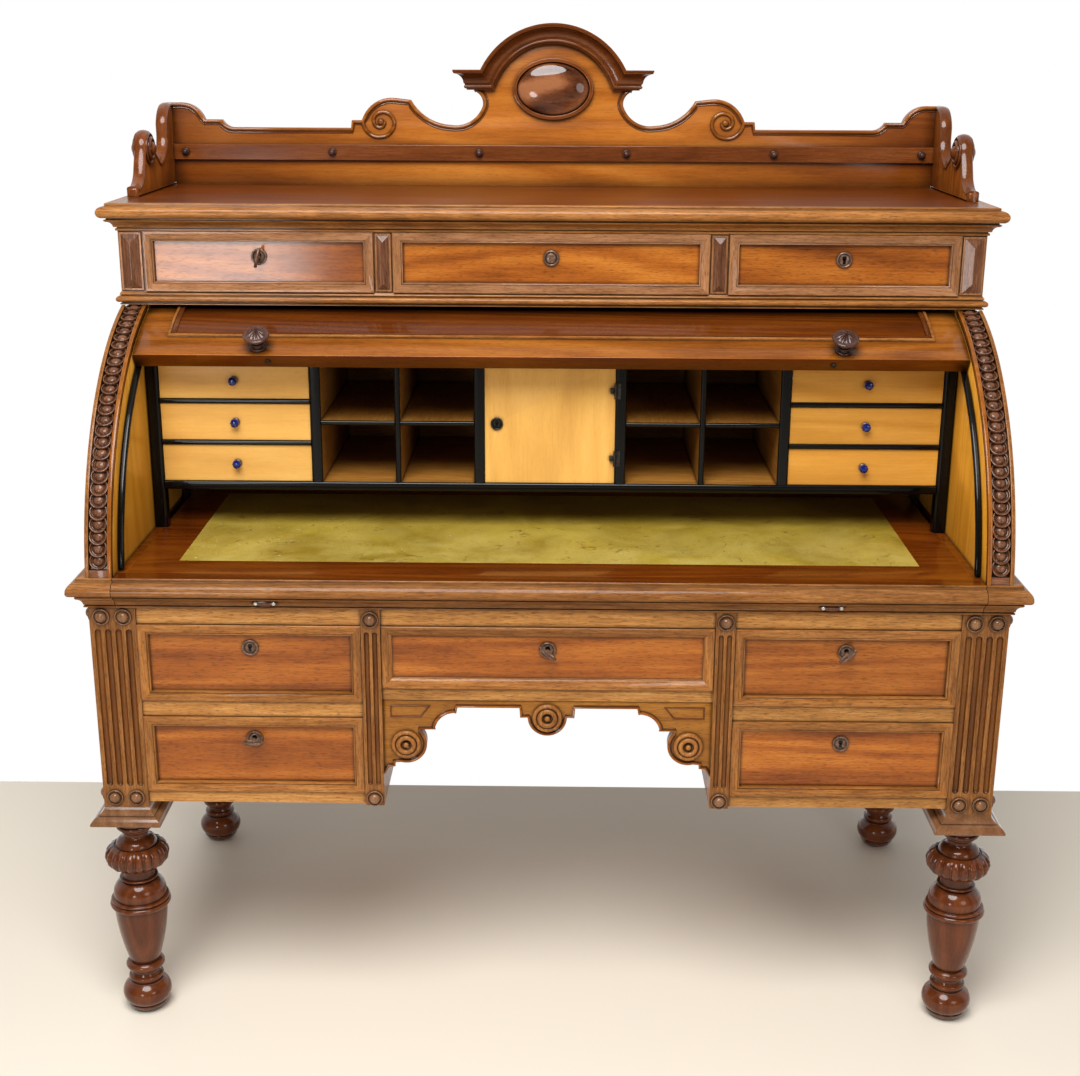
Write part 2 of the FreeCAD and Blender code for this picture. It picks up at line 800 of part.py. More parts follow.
def make_base():
    front = ("rail_setback", RAIL_BACK)
    opening = (STILE_OUT, POST_IN)
    node(
        "front_rails",
        [
            board("top_rail", (f"-{POST_IN}", POST_IN), front, (UPPER_TOP, BASE_TOP)),
            board("centre_rail", ("-knee_half_width", "knee_half_width"), front, (APRON_TOP, CENTRE_LOW)),
        ]
        + both(
            [
                board("middle_rail", opening, front, (LOWER_TOP, UPPER_LOW)),
                board("bottom_rail", opening, front, (BASE_LOW, LOWER_LOW)),
                board("stile", ("knee_half_width", STILE_OUT), front, (BASE_LOW, UPPER_TOP)),
            ]
        ),
    )

    between_posts = ("post_size", BACK_POST)
    blank = board("side_panel_blank", (PANEL_IN, PANEL_OUT), between_posts, (POST_LOW, BASE_TOP))
    sink = board(
        "side_panel_sink",
        (f"{PANEL_OUT} - panel_sink", f"{PANEL_OUT} + {OVERSHOOT}"),
        ("post_size + panel_frame", f"{BACK_POST} - panel_frame"),
        (f"{POST_LOW} + panel_frame", f"{BASE_TOP} - panel_frame"),
    )
    node("side_panels", both([cut("side_panel", blank, [sink])]))

    wall_out = "knee_half_width + wall_board"
    inside = (RAIL_BACK, BASE_BACK)
    node("pedestal_walls", both([board("wall", ("knee_half_width", wall_out), inside, (BASE_LOW, BASE_TOP))]))

    back = (BASE_BACK, BASE_DEPTH)
    upper_back = (f"{BACK} - back_board", BACK)
    node(
        "back_panels",
        both([board("pedestal_back", ("knee_half_width", POST_IN), back, (BASE_LOW, BASE_TOP))])
        + [
            board("back_rail", ("-knee_half_width", "knee_half_width"), back, (APRON_TOP, BASE_TOP)),
            board("upper_back", (f"-{SIDE_IN}", SIDE_IN), upper_back, (BASE_TOP, CASE_UNDER)),
        ],
    )

    boards = []
    guides = []
    for name, level in (("upper", UPPER_LOW), ("lower", LOWER_LOW)):
        floor = (f"{level} - dust_board", level)
        rise = f"{level} + guide_rise"
        boards.append(board(f"{name}_dust", (wall_out, POST_IN), inside, floor))
        guides.append(board(f"{name}_outer_guide", (POST_IN, PANEL_IN), between_posts, (floor[0], rise)))
        guides.append(board(f"{name}_inner_guide", (wall_out, STILE_OUT), inside, (level, rise)))
    centre = board(
        "centre_dust",
        ("-knee_half_width", "knee_half_width"),
        inside,
        (f"{CENTRE_LOW} - dust_board", CENTRE_LOW),
    )
    node("dust_boards", both(boards) + [centre])
    node("drawer_guides", both(guides))


def make_apron():
    def at(x, drop):
        return x, f"-({drop})"

    def on_boss(angle):
        return f"boss_place + boss_radius * cos({angle})", f"-boss_drop + boss_radius * sin({angle})"

    middle = (f"arch_half_width + (arch_curve_reach - arch_half_width) * {HALF_TURN}",
              f"arch_step_drop + (arch_curve_drop - arch_step_drop) * (1 - {HALF_TURN})")
    ledge = f"boss_place - sqrt(boss_radius^2 - (boss_drop - arch_curve_drop)^2)"
    right = [
        at("keystone_radius", "block_drop"),
        at("block_half_width", "block_drop"),
        at("block_half_width", "arch_drop"),
        at("arch_half_width", "arch_drop"),
        at("arch_half_width", "arch_step_drop"),
        Via(*at(*middle)),
        at("arch_curve_reach", "arch_curve_drop"),
        at(ledge, "arch_curve_drop"),
        Via(*on_boss("210")),
        on_boss("285"),
        at("toe_place", "boss_drop + boss_radius"),
        at("toe_place", "toe_drop"),
        at("(toe_place + knee_half_width) / 2", "toe_drop"),
        at("knee_half_width", "tip_drop"),
        at("knee_half_width", "0"),
    ]
    keystone = Via(*at("0", "block_drop + keystone_radius"))
    apron = slab("apron", "XZ_Plane", symmetric(right) + [keystone], "apron_board")
    node("kneehole_apron", [put(apron, "0", "apron_setback", APRON_TOP)])

    rosette = button("rosette", "rosette", FRONTWARD)
    side = copy_of(rosette, "side_rosette", "boss_place", "apron_setback", f"{APRON_TOP} - boss_drop")
    centre = copy_of(rosette, "centre_rosette", "0", "apron_setback", f"{APRON_TOP} - block_drop")
    node("apron_rosettes", both([side]) + [centre])


def make_desk_top():
    side = board("top_side", (SIDE_IN, "base_half_width"), ("0", BACK), (BASE_TOP, DESK))
    route = [("base_half_width", "0"), ("base_half_width", f"-{BACK}"), (SIDE_IN, f"-{BACK}")]
    edge = moulding("side_edge", route, cornice_profile("edge", "base_half_width"))
    put(edge, "0", BACK, BASE_TOP)
    rail_low = f"{BASE_TOP} - pivot_rail_height"
    blank = board("pivot_rail_blank", (SIDE_IN, PANEL_IN), ("post_size", BACK_POST), (rail_low, BASE_TOP))
    bore = on_axis(rod("pivot_bore", "pin_radius", "pin_seat", SIDEWAYS, "0", "0", "0"), SIDE_IN)
    node("desk_top_sides", both([side, edge, cut("pivot_rail", blank, [bore])]))

    pin_in = f"{ARM_IN} - pin_clearance"
    pin = rod("pin", "pin_radius", f"{SIDE_IN} + pin_seat - ({pin_in})", SIDEWAYS, "0", "0", "0")
    node("pivot_pins", both([on_axis(pin, pin_in)]))

    runner = board(
        "slide_runner",
        (f"{NOOK_SIDE} - runner_width", NOOK_SIDE),
        ("slide_front_board", BASE_DEPTH),
        (BASE_TOP, f"{DESK} - slide_board"),
    )
    node("slide_runners", both([runner]))

    # The side lippings stop short, so the lid's arms stand clear behind them
    level = (f"{DESK} - slide_board", DESK)
    deep = f"({BACK} - back_board - slide_back_gap)"
    wide = f"({AXIS_BACK} - slide_notch)"
    blank = board("writing_board_blank", (f"-{NOOK_SIDE}", NOOK_SIDE), ("slide_front_board", deep), level)
    lipping = board("slide_lipping", (NOOK_SIDE, SLIDE_HALF), ("slide_front_board", wide), level)
    half = f"({SLIDE_HALF} - leather_side_margin)"
    leather_plan = ((f"-{half}", half), ("leather_front_margin", f"{deep} - leather_back_margin"))
    bed = f"{DESK} - leather_thickness"
    recess = board("leather_recess", *leather_plan, (bed, f"{DESK} + {OVERSHOOT}"))
    node("writing_board", [cut("writing_board_cut", blank, [recess])] + both([lipping]))
    node("leather_panel", [board("leather", *leather_plan, (bed, DESK))])

    def forward(place):
        reach, rise = f"-({place[0]})", place[1]
        return Via(reach, rise) if isinstance(place, Via) else (reach, rise)

    profile = [forward(place) for place in cornice_profile("edge", "0")][1:-1]
    back = [("slide_front_board", "edge_height"), ("slide_front_board", "0")]
    front = slab("slide_front_stick", "YZ_Plane", profile + back, f"2 * {SLIDE_HALF}")
    node("slide_front", [put(front, f"-{SLIDE_HALF}", "0", BASE_TOP)])


def make_sides():
    mid = "140"
    rise = f"{CASE_UNDER} - {AXIS}"
    core = f"({AXIS_BACK} - {CASE_CORE_FRONT})"
    outline = [
        arc_at_rise(COIN_IN, DESK_RISE),
        Via(*around_axis(COIN_IN, mid)),
        arc_at_reach(COIN_IN, core),
        (f"-{core}", rise),
        (f"{BACK} - {AXIS_BACK}", rise),
        (f"{BACK} - {AXIS_BACK}", DESK_RISE),
    ]
    side = slab("quadrant", "YZ_Plane", outline, f"{CASE_CORE} - {SIDE_IN}")
    node("quadrant_sides", both([on_axis(side, SIDE_IN)]))

    top = f"{COLLAR_LOW} - {AXIS}"
    strip = [
        arc_at_rise(QUADRANT, DESK_RISE),
        Via(*around_axis(QUADRANT, mid)),
        arc_at_rise(QUADRANT, top),
        arc_at_reach(COIN_IN, core),
        Via(*around_axis(COIN_IN, mid)),
        arc_at_rise(COIN_IN, DESK_RISE),
    ]
    coin = slab("coin_strip", "YZ_Plane", strip, f"{CASE_OUT} - {SIDE_IN}")
    node("coin_mouldings", both([on_axis(coin, SIDE_IN)]))

    outer, inner = f"({LID_IN} - guide_gap)", f"({LID_IN} - guide_gap - guide_depth)"
    foot = f"{DESK_RISE} + guide_gap"
    reach = f"{AXIS_BACK} - {NOOK_FACE} + edging"
    bead = [
        arc_at_rise(outer, foot),
        Via(*around_axis(outer, mid)),
        arc_at_reach(outer, reach),
        arc_at_reach(inner, reach),
        Via(*around_axis(inner, mid)),
        arc_at_rise(inner, foot),
    ]
    guide = slab("guide_bead", "YZ_Plane", bead, "guide_width")
    node("lid_guides", both([on_axis(guide, f"{SIDE_IN} - guide_width")]))


def make_lid():
    rear = f"({BACK} - back_board - lid_back_gap - {AXIS_BACK})"
    share = f"{LID_IN} / lid_radius"
    tail = (rear, f"sqrt(lid_radius^2 - {rear}^2)")
    shell = [
        around_axis("lid_radius", "lid_open_angle"),
        Via("0", "lid_radius"),
        tail,
        (f"{tail[0]} * {share}", f"{tail[1]} * {share}"),
        Via("0", LID_IN),
        around_axis(LID_IN, "lid_open_angle"),
    ]
    lid = slab("lid_shell", "YZ_Plane", shell, f"2 * {SLIDE_HALF}")
    node("cylinder_lid", [on_axis(lid, f"-{SLIDE_HALF}")])

    def curved(name, low, high, half, radius):
        middle = f"({low} + {high}) / 2"
        path = [around_axis(radius, low), Via(*around_axis(radius, middle)), around_axis(radius, high)]
        inner = "lid_radius"
        under = [around_axis(inner, high), Via(*around_axis(inner, middle)), around_axis(inner, low)]
        return on_axis(slab(name, "YZ_Plane", path + under, f"2 * ({half})"), f"-({half})")

    turn = "(lid_frame_width / lid_radius * 180 / pi)"
    face = "(lid_radius + lid_moulding)"
    frame_half = f"({SLIDE_HALF} - lid_frame_margin)"
    whole = curved("lid_frame_blank", "lid_frame_rear", "lid_frame_angle", frame_half, face)
    field = curved(
        "lid_frame_field",
        f"(lid_frame_rear + {turn})",
        f"(lid_frame_angle - {turn})",
        f"{frame_half} - lid_frame_width",
        f"({face} + {OVERSHOOT})",
    )
    node("lid_panel_moulding", [cut("lid_frame", whole, [field])])

    knob = turning(
        "knob",
        [
            ("0", "0"),
            ("knob_foot_radius", "0"),
            ("knob_foot_radius", "knob_foot"),
            Via("knob_waist_radius", "knob_waist"),
            ("knob_bell_radius", "knob_bell"),
            ("knob_head_radius", "knob_bell"),
            ("knob_head_radius", "knob_head"),
            Via(f"knob_head_radius * {HALF_TURN}", f"knob_head + (knob_height - knob_head) * {HALF_TURN}"),
            (TIP, "knob_height"),
            ("0", "knob_height"),
        ],
    )
    knob.Placement.Rotation = FRONTWARD
    bind(knob, "Placement.Rotation.Angle", "(knob_angle - 90) * 1 deg")
    seat = around_axis("lid_radius", "knob_angle")
    put(knob, f"{SLIDE_HALF} - knob_inset", f"{AXIS_BACK} + {seat[0]}", f"{AXIS} + {seat[1]}")
    middle = "(lid_radius - lid_thickness / 2)"
    edge = around_axis(middle, "lid_open_angle")
    buffer = rod("buffer", "buffer_radius", "buffer_length", FRONTWARD, "0", "0", "0")
    bind(buffer, "Placement.Rotation.Angle", "lid_open_angle * 1 deg")
    put(buffer, f"{SLIDE_HALF} - buffer_inset", f"{AXIS_BACK} + {edge[0]}", f"{AXIS} + {edge[1]}")
    node("lid_knobs", both([knob, buffer]))

    half = "arm_width / 2"
    length = f"{LID_IN} - arm_end_gap"
    bar = [("0", f"-{half}"), (length, f"-{half}"), (length, half), ("0", half), Via(f"-{half}", "0")]
    arm = slab("arm_bar", "YZ_Plane", bar, "arm_thickness")
    arm.Placement.Rotation = FRONTWARD
    bind(arm, "Placement.Rotation.Angle", f"acos({rear} / lid_radius) + arm_lead * 1 deg")
    on_axis(arm, ARM_IN)
    through = f"arm_thickness + 2 * {OVERSHOOT}"
    hole = rod("arm_hole", "pin_radius + pin_clearance", through, SIDEWAYS, "0", "0", "0")
    node("lid_arms", both([cut("arm", arm, [on_axis(hole, f"{ARM_IN} - {OVERSHOOT}")])]))


def make_frieze_case():
    low = FRIEZE_LOW
    across = (f"-{CASE_CORE}", CASE_CORE)
    divider = ("divider_half_gap", DIVIDER_OUT)
    top_low = f"{SHELF} - case_top"
    upright = (low, top_low)
    inner = f"{CASE_OUT} - case_wall"
    back = f"{BACK} - back_board"
    rail_back = f"{CASE_FRONT} + case_rail"
    node(
        "frieze_case",
        [
            board("case_floor_board", across, (CASE_CORE_FRONT, BACK), (CASE_UNDER, low)),
            board("case_top_rail", (f"-({inner})", inner), (CASE_FRONT, rail_back), (FRIEZE_TOP, top_low)),
            board("case_back", (f"-({inner})", inner), (back, BACK), upright),
        ]
        + both(
            [
                board("case_side", (inner, CASE_OUT), (CASE_FRONT, BACK), upright),
                board("case_stile", (SIDE_IN, inner), (CASE_FRONT, rail_back), (low, FRIEZE_TOP)),
                board("case_divider", divider, (CASE_FRONT, back), (low, FRIEZE_TOP)),
            ]
        ),
    )
    width = CASE_OUT
    top = board("top_board_plank", (f"-{width}", width), (CASE_FRONT, BACK), (top_low, SHELF))
    node("top_board", [top])

    depth = f"{BACK} - {CASE_FRONT}"
    route = [(width, "0"), (width, f"-({depth})"), (f"-{width}", f"-({depth})"), (f"-{width}", "0")]
    cornice = put(moulding("cornice_run", route, cornice_profile("cornice", width)), "0", BACK, FRIEZE_TOP)
    bead = "(collar_bead_low + collar_bead_high) / 2"
    collar = [
        (CASE_CORE, "0"),
        (f"{width} + collar_fillet", "0"),
        (f"{width} + collar_fillet", "collar_bead_low"),
        Via(f"{width} + collar_reach", bead),
        (f"{width} + collar_fillet", "collar_bead_high"),
        (f"{width} + collar_fillet", "collar_height"),
        (CASE_CORE, "collar_height"),
    ]
    collar_run = put(moulding("collar_run", route, collar), "0", BACK, COLLAR_LOW)
    upper = mitred("cornice", cornice, "cornice_height")
    node("case_mouldings", upper + mitred("collar", collar_run, "collar_height"))

    blocks = []
    spans = {"corner": (SIDE_IN, width), "divider": ("divider_half_gap", DIVIDER_OUT)}
    for name, (inner_x, outer_x) in spans.items():
        x = f"{inner_x} + facet_margin", f"{outer_x} - facet_margin"
        z = f"{low} + facet_margin", f"{FRIEZE_TOP} - facet_margin"
        blocks.append(board(f"{name}_block", x, (f"{CASE_FRONT} - facet_board", CASE_FRONT), z))
        facet = doc.addObject("Part::Wedge", f"{name}_facet")
        half = f"(({x[1]}) - ({x[0]})) / 2"
        height = f"({z[1]}) - ({z[0]})"
        for prop, expression in {
            "Xmin": f"-{half}",
            "Xmax": half,
            "Zmin": "0",
            "Zmax": height,
            "Ymin": "0",
            "Ymax": "facet_rise",
            "X2min": "-facet_margin / 4",
            "X2max": "facet_margin / 4",
            "Z2min": half,
            "Z2max": f"{height} - {half}",
        }.items():
            bind(facet, prop, expression)
        facet.Placement.Rotation = FreeCAD.Rotation(FreeCAD.Vector(0, 0, 1), 180)
        blocks.append(put(facet, f"({x[0]}) + {half}", f"{CASE_FRONT} - facet_board", z[0]))
    node("faceted_blocks", both(blocks))


def make_gallery():
    centre = "(pediment_arm_height - pediment_drop)"
    under = "(pediment_radius - pediment_fillet)"
    spring = f"(pediment_arm_height - pediment_fillet)"
    spring_out = f"sqrt({under}^2 - ({spring} - {centre})^2)"
    right = [
        (spring_out, spring),
        ("bite_neck_place", spring),
        ("bite_neck_place", f"pediment_arm_height - bite_neck_drop"),
        Via("bite_top_place", f"pediment_arm_height - bite_top_drop"),
        ("bite_side_place", f"pediment_arm_height - bite_side_drop"),
        Via("bite_inner_place", f"pediment_arm_height - bite_inner_drop"),
        ("bite_low_place", "bite_low_height"),
        Via("bite_outer_place", "bite_outer_height"),
        ("scroll_end_place", "scroll_end_height"),
        ("scroll_top_place", "scroll_top_height"),
        Via("scroll_shoulder_place", "scroll_shoulder_height"),
        ("scroll_outer", "crest_ledge_height"),
        ("crest_straight_inner", "crest_ledge_height"),
        ("crest_straight_inner", "crest_height"),
        (f"{GALLERY_HALF} - crest_straight_outer", "crest_height"),
        Via(f"{GALLERY_HALF} - crest_ogee_inset", "crest_ogee_height"),
        (f"{GALLERY_HALF} - crest_ledge_inner", "crest_ledge_height"),
        (f"{GALLERY_HALF} - crest_ledge_outer", "crest_ledge_height"),
        Via(f"{GALLERY_HALF} - crest_ovolo_inset", "crest_ovolo_height"),
        (f"{GALLERY_HALF} - crest_corner_inset", "crest_corner_height"),
        (GALLERY_HALF, "crest_corner_height"),
        (GALLERY_HALF, "0"),
    ]
    crown = Via("0", f"{centre} + {under}")
    back = slab("gallery_board_cut", "XZ_Plane", symmetric(right) + [crown], "gallery_board")
    node("gallery_back", [put(back, "0", GALLERY_FACE, SHELF)])

    body = doc.addObject("PartDesign::Body", "pediment")
    arm_end = f"sqrt(pediment_radius^2 - (pediment_arm_height - {centre})^2)"
    route = sketch_on(body, "XZ_Plane", "route")
    spine = [
        ("pediment_arm_reach", "pediment_arm_height"),
        (arm_end, "pediment_arm_height"),
        Via("0", f"{centre} + pediment_radius"),
        (f"-{arm_end}", "pediment_arm_height"),
        ("-pediment_arm_reach", "pediment_arm_height"),
    ]
    draw(route, spine, closed=False)
    section = sketch_on(body, "YZ_Plane", "section")
    bind(section, "AttachmentOffset.Base.z", "pediment_arm_reach")
    top = "pediment_arm_height"
    draw(
        section,
        [
            ("0", top),
            ("-pediment_proud", top),
            ("-pediment_proud", f"{top} - pediment_fillet"),
            Via("-pediment_cove_reach", f"{top} - pediment_cove_depth"),
            ("-pediment_heel", f"{top} - pediment_depth"),
            ("0", f"{top} - pediment_depth"),
        ],
    )
    pipe = body.newObject("PartDesign::AdditivePipe", "pediment_run")
    pipe.Profile = section
    pipe.Spine = (route, ["Edge1", "Edge2", "Edge3"])
    pipe.Transition = "Right corner"
    put(body, "0", GALLERY_FACE, SHELF)
    low = f"{top} - pediment_depth - {OVERSHOOT}"
    wedge = [
        ("pediment_foot_reach", low),
        ("pediment_arm_reach", f"{top} - pediment_fillet"),
        (f"pediment_arm_reach + {OVERSHOOT}", f"{top} - pediment_fillet"),
        (f"pediment_arm_reach + {OVERSHOOT}", low),
    ]
    splay = slab("pediment_splay", "XZ_Plane", wedge, f"pediment_proud + 2 * {OVERSHOOT}")
    put(splay, "0", f"{GALLERY_FACE} - pediment_proud - {OVERSHOOT}", SHELF)
    node("pediment_moulding", [cut("pediment_cut", body, both([splay]))])

    dome = doc.addObject("Part::Ellipsoid", "oval_dome_whole")
    bind(dome, "Radius1", "oval_rise")
    bind(dome, "Radius2", "oval_half_width")
    bind(dome, "Radius3", "oval_half_height")
    dome.Angle1 = 0
    dome.Placement.Rotation = FRONTWARD
    put(dome, "0", GALLERY_FACE, f"{SHELF} + pediment_arm_height - oval_drop")

    def oval(name, grow, rise):
        ring = doc.addObject("Part::Ellipse", f"{name}_line")
        bind(ring, "MajorRadius", f"oval_half_width + {grow}")
        bind(ring, "MinorRadius", f"oval_half_height + {grow}")
        disc = doc.addObject("Part::Extrusion", name)
        disc.Base = ring
        disc.DirMode = "Custom"
        disc.Dir = FreeCAD.Vector(0, 0, 1)
        disc.Solid = True
        bind(disc, "LengthFwd", rise)
        disc.Placement.Rotation = FRONTWARD
        return put(disc, "0", GALLERY_FACE, f"{SHELF} + pediment_arm_height - oval_drop")

    hollow = oval("oval_hollow", "0", f"oval_rim_rise + {OVERSHOOT}")
    rim = cut("oval_rim_ring", oval("oval_rim_disc", "oval_rim", "oval_rim_rise"), [hollow])
    node("oval_boss", [dome, rim])

    half = GALLERY_HALF
    rail_low = f"{SHELF} + peg_rail_low"
    rail_face = f"{GALLERY_FACE} - peg_rail_board"
    span = (rail_low, f"{rail_low} + peg_rail_height")
    node("peg_rail", [board("peg_rail_strip", (f"-{half}", half), (rail_face, GALLERY_FACE), span)])
    peg = turning(
        "peg",
        [
            ("0", "0"),
            ("peg_radius", "0"),
            ("peg_radius", "peg_rim"),
            ("peg_dome", "peg_length - peg_rim"),
            Via(f"peg_dome * {HALF_TURN}", f"peg_length - peg_rim * (1 - {HALF_TURN})"),
            (TIP, "peg_length"),
            ("0", "peg_length"),
        ],
        FRONTWARD,
    )
    middle = f"{rail_low} + peg_rail_height / 2"
    # Three pegs a side, evenly spaced, the outermost a margin in from the gallery's end
    pegs = []
    for n, share in enumerate(("1 / 5", "3 / 5", "1")):
        place = f"({GALLERY_HALF} - peg_margin) * {share}"
        pegs.append(copy_of(peg, f"peg_{n}", place, rail_face, middle))
    node("gallery_pegs", both(pegs))

    foot = f"({BACK} - bracket_foot_reach)"
    neck = f"({BACK} - bracket_stem_reach)"
    centre = f"({BACK} - bracket_disc_reach)"
    bite = f"({BACK} - bracket_bite_reach)"
    arm = f"({BACK} - bracket_arm_reach)"
    stem = [
        (foot, "0"),
        (foot, "bracket_foot_height"),
        Via(f"({foot} + 2 * {neck}) / 3", "(2 * bracket_foot_height + bracket_stem_height) / 3"),
        (neck, "bracket_stem_height"),
        (f"{centre} - bracket_disc_radius", "bracket_disc_height"),
        Via(centre, "bracket_disc_height + bracket_disc_radius"),
        (f"{centre} + bracket_disc_radius", "bracket_disc_height"),
        (bite, "bracket_bite_height"),
        Via(f"({bite} + 2 * {arm}) / 3", "(2 * bracket_bite_height + bracket_arm_height) / 3"),
        (arm, "bracket_arm_height"),
        (arm, "bracket_notch_height"),
        Via(f"{BACK} - bracket_crown_reach", "bracket_crown_height"),
        (f"{BACK} - bracket_top_reach", "crest_corner_height"),
        (BACK, "crest_corner_height"),
        (BACK, "0"),
    ]
    bracket = put(slab("bracket", "YZ_Plane", stem, "bracket_board"), half, "0", SHELF)
    outer = button("roundel_out", "button", SIDEWAYS)
    disc = (f"{SHELF} + bracket_disc_height", centre)
    put(outer, f"{half} + bracket_board", disc[1], disc[0])
    inward = button("roundel_in", "button", FreeCAD.Rotation(FreeCAD.Vector(0, 1, 0), -90))
    put(inward, half, disc[1], disc[0])
    node("gallery_brackets", both([bracket, outer, inward]))


def make_nook():
    deep = (NOOK_FRONT, NOOK_BACK)
    tall = (NOOK_FLOOR, NOOK_CEILING)
    shelf = (f"{HOLE_MIDDLE} - pigeonhole_shelf / 2", f"{HOLE_MIDDLE} + pigeonhole_shelf / 2")
    drawer_rails = []
    for n in (1, 2):
        low = f"{NOOK_FLOOR} + {n} * {SMALL_HEIGHT} + {n - 1} * small_rail"
        drawer_rails.append((low, f"{low} + small_rail"))
    behind_upright = (f"{NOOK_FRONT} + side_upright_depth", NOOK_BACK)
    half_case = [
        board("partition_one", ("door_half_width", UPRIGHT_ONE), deep, tall),
        board("pigeonhole_wall", (HOLE_ONE, HOLE_TWO), deep, tall),
        board("partition_two", (UPRIGHT_TWO, BANK_IN), deep, tall),
        board("shelf_one", (UPRIGHT_ONE, HOLE_ONE), deep, shelf),
        board("shelf_two", (HOLE_TWO, UPRIGHT_TWO), deep, shelf),
        board("nook_side_wall", (BANK_OUT, NOOK_SIDE), behind_upright, tall),
        board(
            "cleat",
            (NOOK_SIDE, SIDE_IN),
            (f"{NOOK_BACK} - cleat_depth", NOOK_BACK),
            (NOOK_LOW, f"{NOOK_LOW} + cleat_height"),
        ),
    ]
    for n, rail in enumerate(drawer_rails):
        half_case.append(board(f"small_rail_{n}", (BANK_IN, BANK_OUT), deep, rail))
    whole = (f"-{NOOK_SIDE}", NOOK_SIDE)
    inner = (f"-{BANK_OUT}", BANK_OUT)
    front_boards = []
    for name, z in (("floor", (NOOK_LOW, NOOK_FLOOR)), ("roof", (NOOK_CEILING, NOOK_TOP))):
        front_boards.append(board(f"nook_{name}_front", inner, (NOOK_FRONT, behind_upright[0]), z))
        front_boards.append(board(f"nook_{name}_back", whole, behind_upright, z))
    back = board("nook_back_board", whole, (NOOK_BACK, f"{NOOK_BACK} + nook_back"), (NOOK_LOW, NOOK_TOP))
    node("pigeonhole_case", both(half_case) + front_boards + [back])

    face = (NOOK_FACE, NOOK_FRONT)
    black = [
        board("upright_one", ("door_half_width", UPRIGHT_ONE), face, tall),
        board("upright_hole", (HOLE_ONE, HOLE_TWO), face, tall),
        board("upright_two", (UPRIGHT_TWO, BANK_IN), face, tall),
        board(
            "upright_side",
            (BANK_OUT, SIDE_IN),
            (NOOK_FACE, behind_upright[0]),
            (f"{DESK} + upright_foot_gap", NOOK_TOP),
        ),
        board("shelf_edge_one", (UPRIGHT_ONE, HOLE_ONE), face, shelf),
        board("shelf_edge_two", (HOLE_TWO, UPRIGHT_TWO), face, shelf),
    ]
    for n, rail in enumerate(drawer_rails):
        black.append(board(f"small_rail_edge_{n}", (BANK_IN, BANK_OUT), face, rail))
    floor_edge = board("floor_edge", inner, face, (NOOK_LOW, NOOK_FLOOR))
    roof_edge = board("roof_edge", inner, face, (NOOK_CEILING, NOOK_TOP))
    node("black_edging", both(black) + [floor_edge, roof_edge])


def make_door(plate):
    door_x = ("-door_half_width + drawer_play", "door_half_width - drawer_play")
    door_z = (f"{NOOK_FLOOR} + drawer_play", f"{NOOK_CEILING} - drawer_play")
    blank = board("door_blank", door_x, (NOOK_FRONT, f"{NOOK_FRONT} + door_board"), door_z)
    lock = ("-door_lock_place", HOLE_MIDDLE)
    behind = f"{NOOK_FRONT} + door_board"
    hole = rod("door_keyhole", "keyhole_radius", "door_board", FRONTWARD, lock[0], behind, lock[1])
    node("cupboard_door", [cut("door_panel", blank, [hole])])

    axis_x = "(door_half_width - drawer_play / 2)"
    axis_y = f"({NOOK_FACE} - hinge_radius)"
    barrel = "(hinge_radius - hinge_clearance)"
    upright = FreeCAD.Rotation()
    fixed = []
    moving = []
    for name, middle in (("low", f"{NOOK_FLOOR} + hinge_margin"), ("high", f"{NOOK_CEILING} - hinge_margin")):
        for side, shift in (("under", "-1.5"), ("over", "0.5")):
            foot = f"{middle} + {shift} * hinge_barrel"
            knuckle = rod(f"{name}_{side}_barrel", barrel, "hinge_barrel", upright, axis_x, axis_y, foot)
            fixed.append(knuckle)
        span = (f"{middle} - hinge_barrel / 2", f"{middle} + hinge_barrel / 2")
        pin = rod(f"{name}_hinge_pin", "hinge_pin_radius", "hinge_barrel", upright, axis_x, axis_y, span[0])
        fixed.append(pin)
        leaf_x = (f"{axis_x} + hinge_radius", f"{axis_x} + hinge_leaf_width")
        leaf_z = (f"{middle} - 1.5 * hinge_barrel", f"{middle} + 1.5 * hinge_barrel")
        fixed.append(board(f"{name}_fixed_leaf", leaf_x, (axis_y, NOOK_FACE), leaf_z))
        tube = rod(
            f"{name}_tube",
            barrel,
            "hinge_barrel - 2 * hinge_clearance",
            FreeCAD.Rotation(),
            axis_x,
            axis_y,
            f"{span[0]} + hinge_clearance",
        )
        bore = rod(
            f"{name}_tube_bore",
            "hinge_pin_radius + hinge_clearance",
            "hinge_barrel",
            FreeCAD.Rotation(),
            axis_x,
            axis_y,
            span[0],
        )
        moving.append(cut(f"{name}_moving_barrel", tube, [bore]))
        leaf_x = (f"{axis_x} - hinge_leaf_width", f"{axis_x} - hinge_radius")
        leaf_z = (f"{span[0]} + hinge_clearance", f"{span[1]} - hinge_clearance")
        moving.append(board(f"{name}_moving_leaf", leaf_x, (axis_y, NOOK_FRONT), leaf_z))
    node("door_hinges", fixed)
    moving.append(copy_of(plate, "door_plate", lock[0], NOOK_FRONT, lock[1]))
    node("door_fittings", moving)


def drawer_box(name, x, z, face, depth, front, wall):
    """The boards of a drawer behind its front: two sides, a back and a floor."""
    left, right = f"{x[0]} + drawer_play", f"{x[1]} - drawer_play"
    low, high = f"{z[0]} + drawer_play", f"{z[1]} - drawer_play - drawer_drop"
    start, end = f"{face} + {front}", f"{face} + {depth}"
    inner = (f"{left} + {wall}", f"{right} - {wall}")
    return [
        board(f"{name}_left", (left, inner[0]), (start, end), (low, high)),
        board(f"{name}_right", (inner[1], right), (start, end), (low, high)),
        board(f"{name}_back", inner, (f"{end} - {wall}", end), (low, high)),
        board(f"{name}_floor", inner, (start, f"{end} - {wall}"), (low, f"{low} + drawer_floor")),
    ]


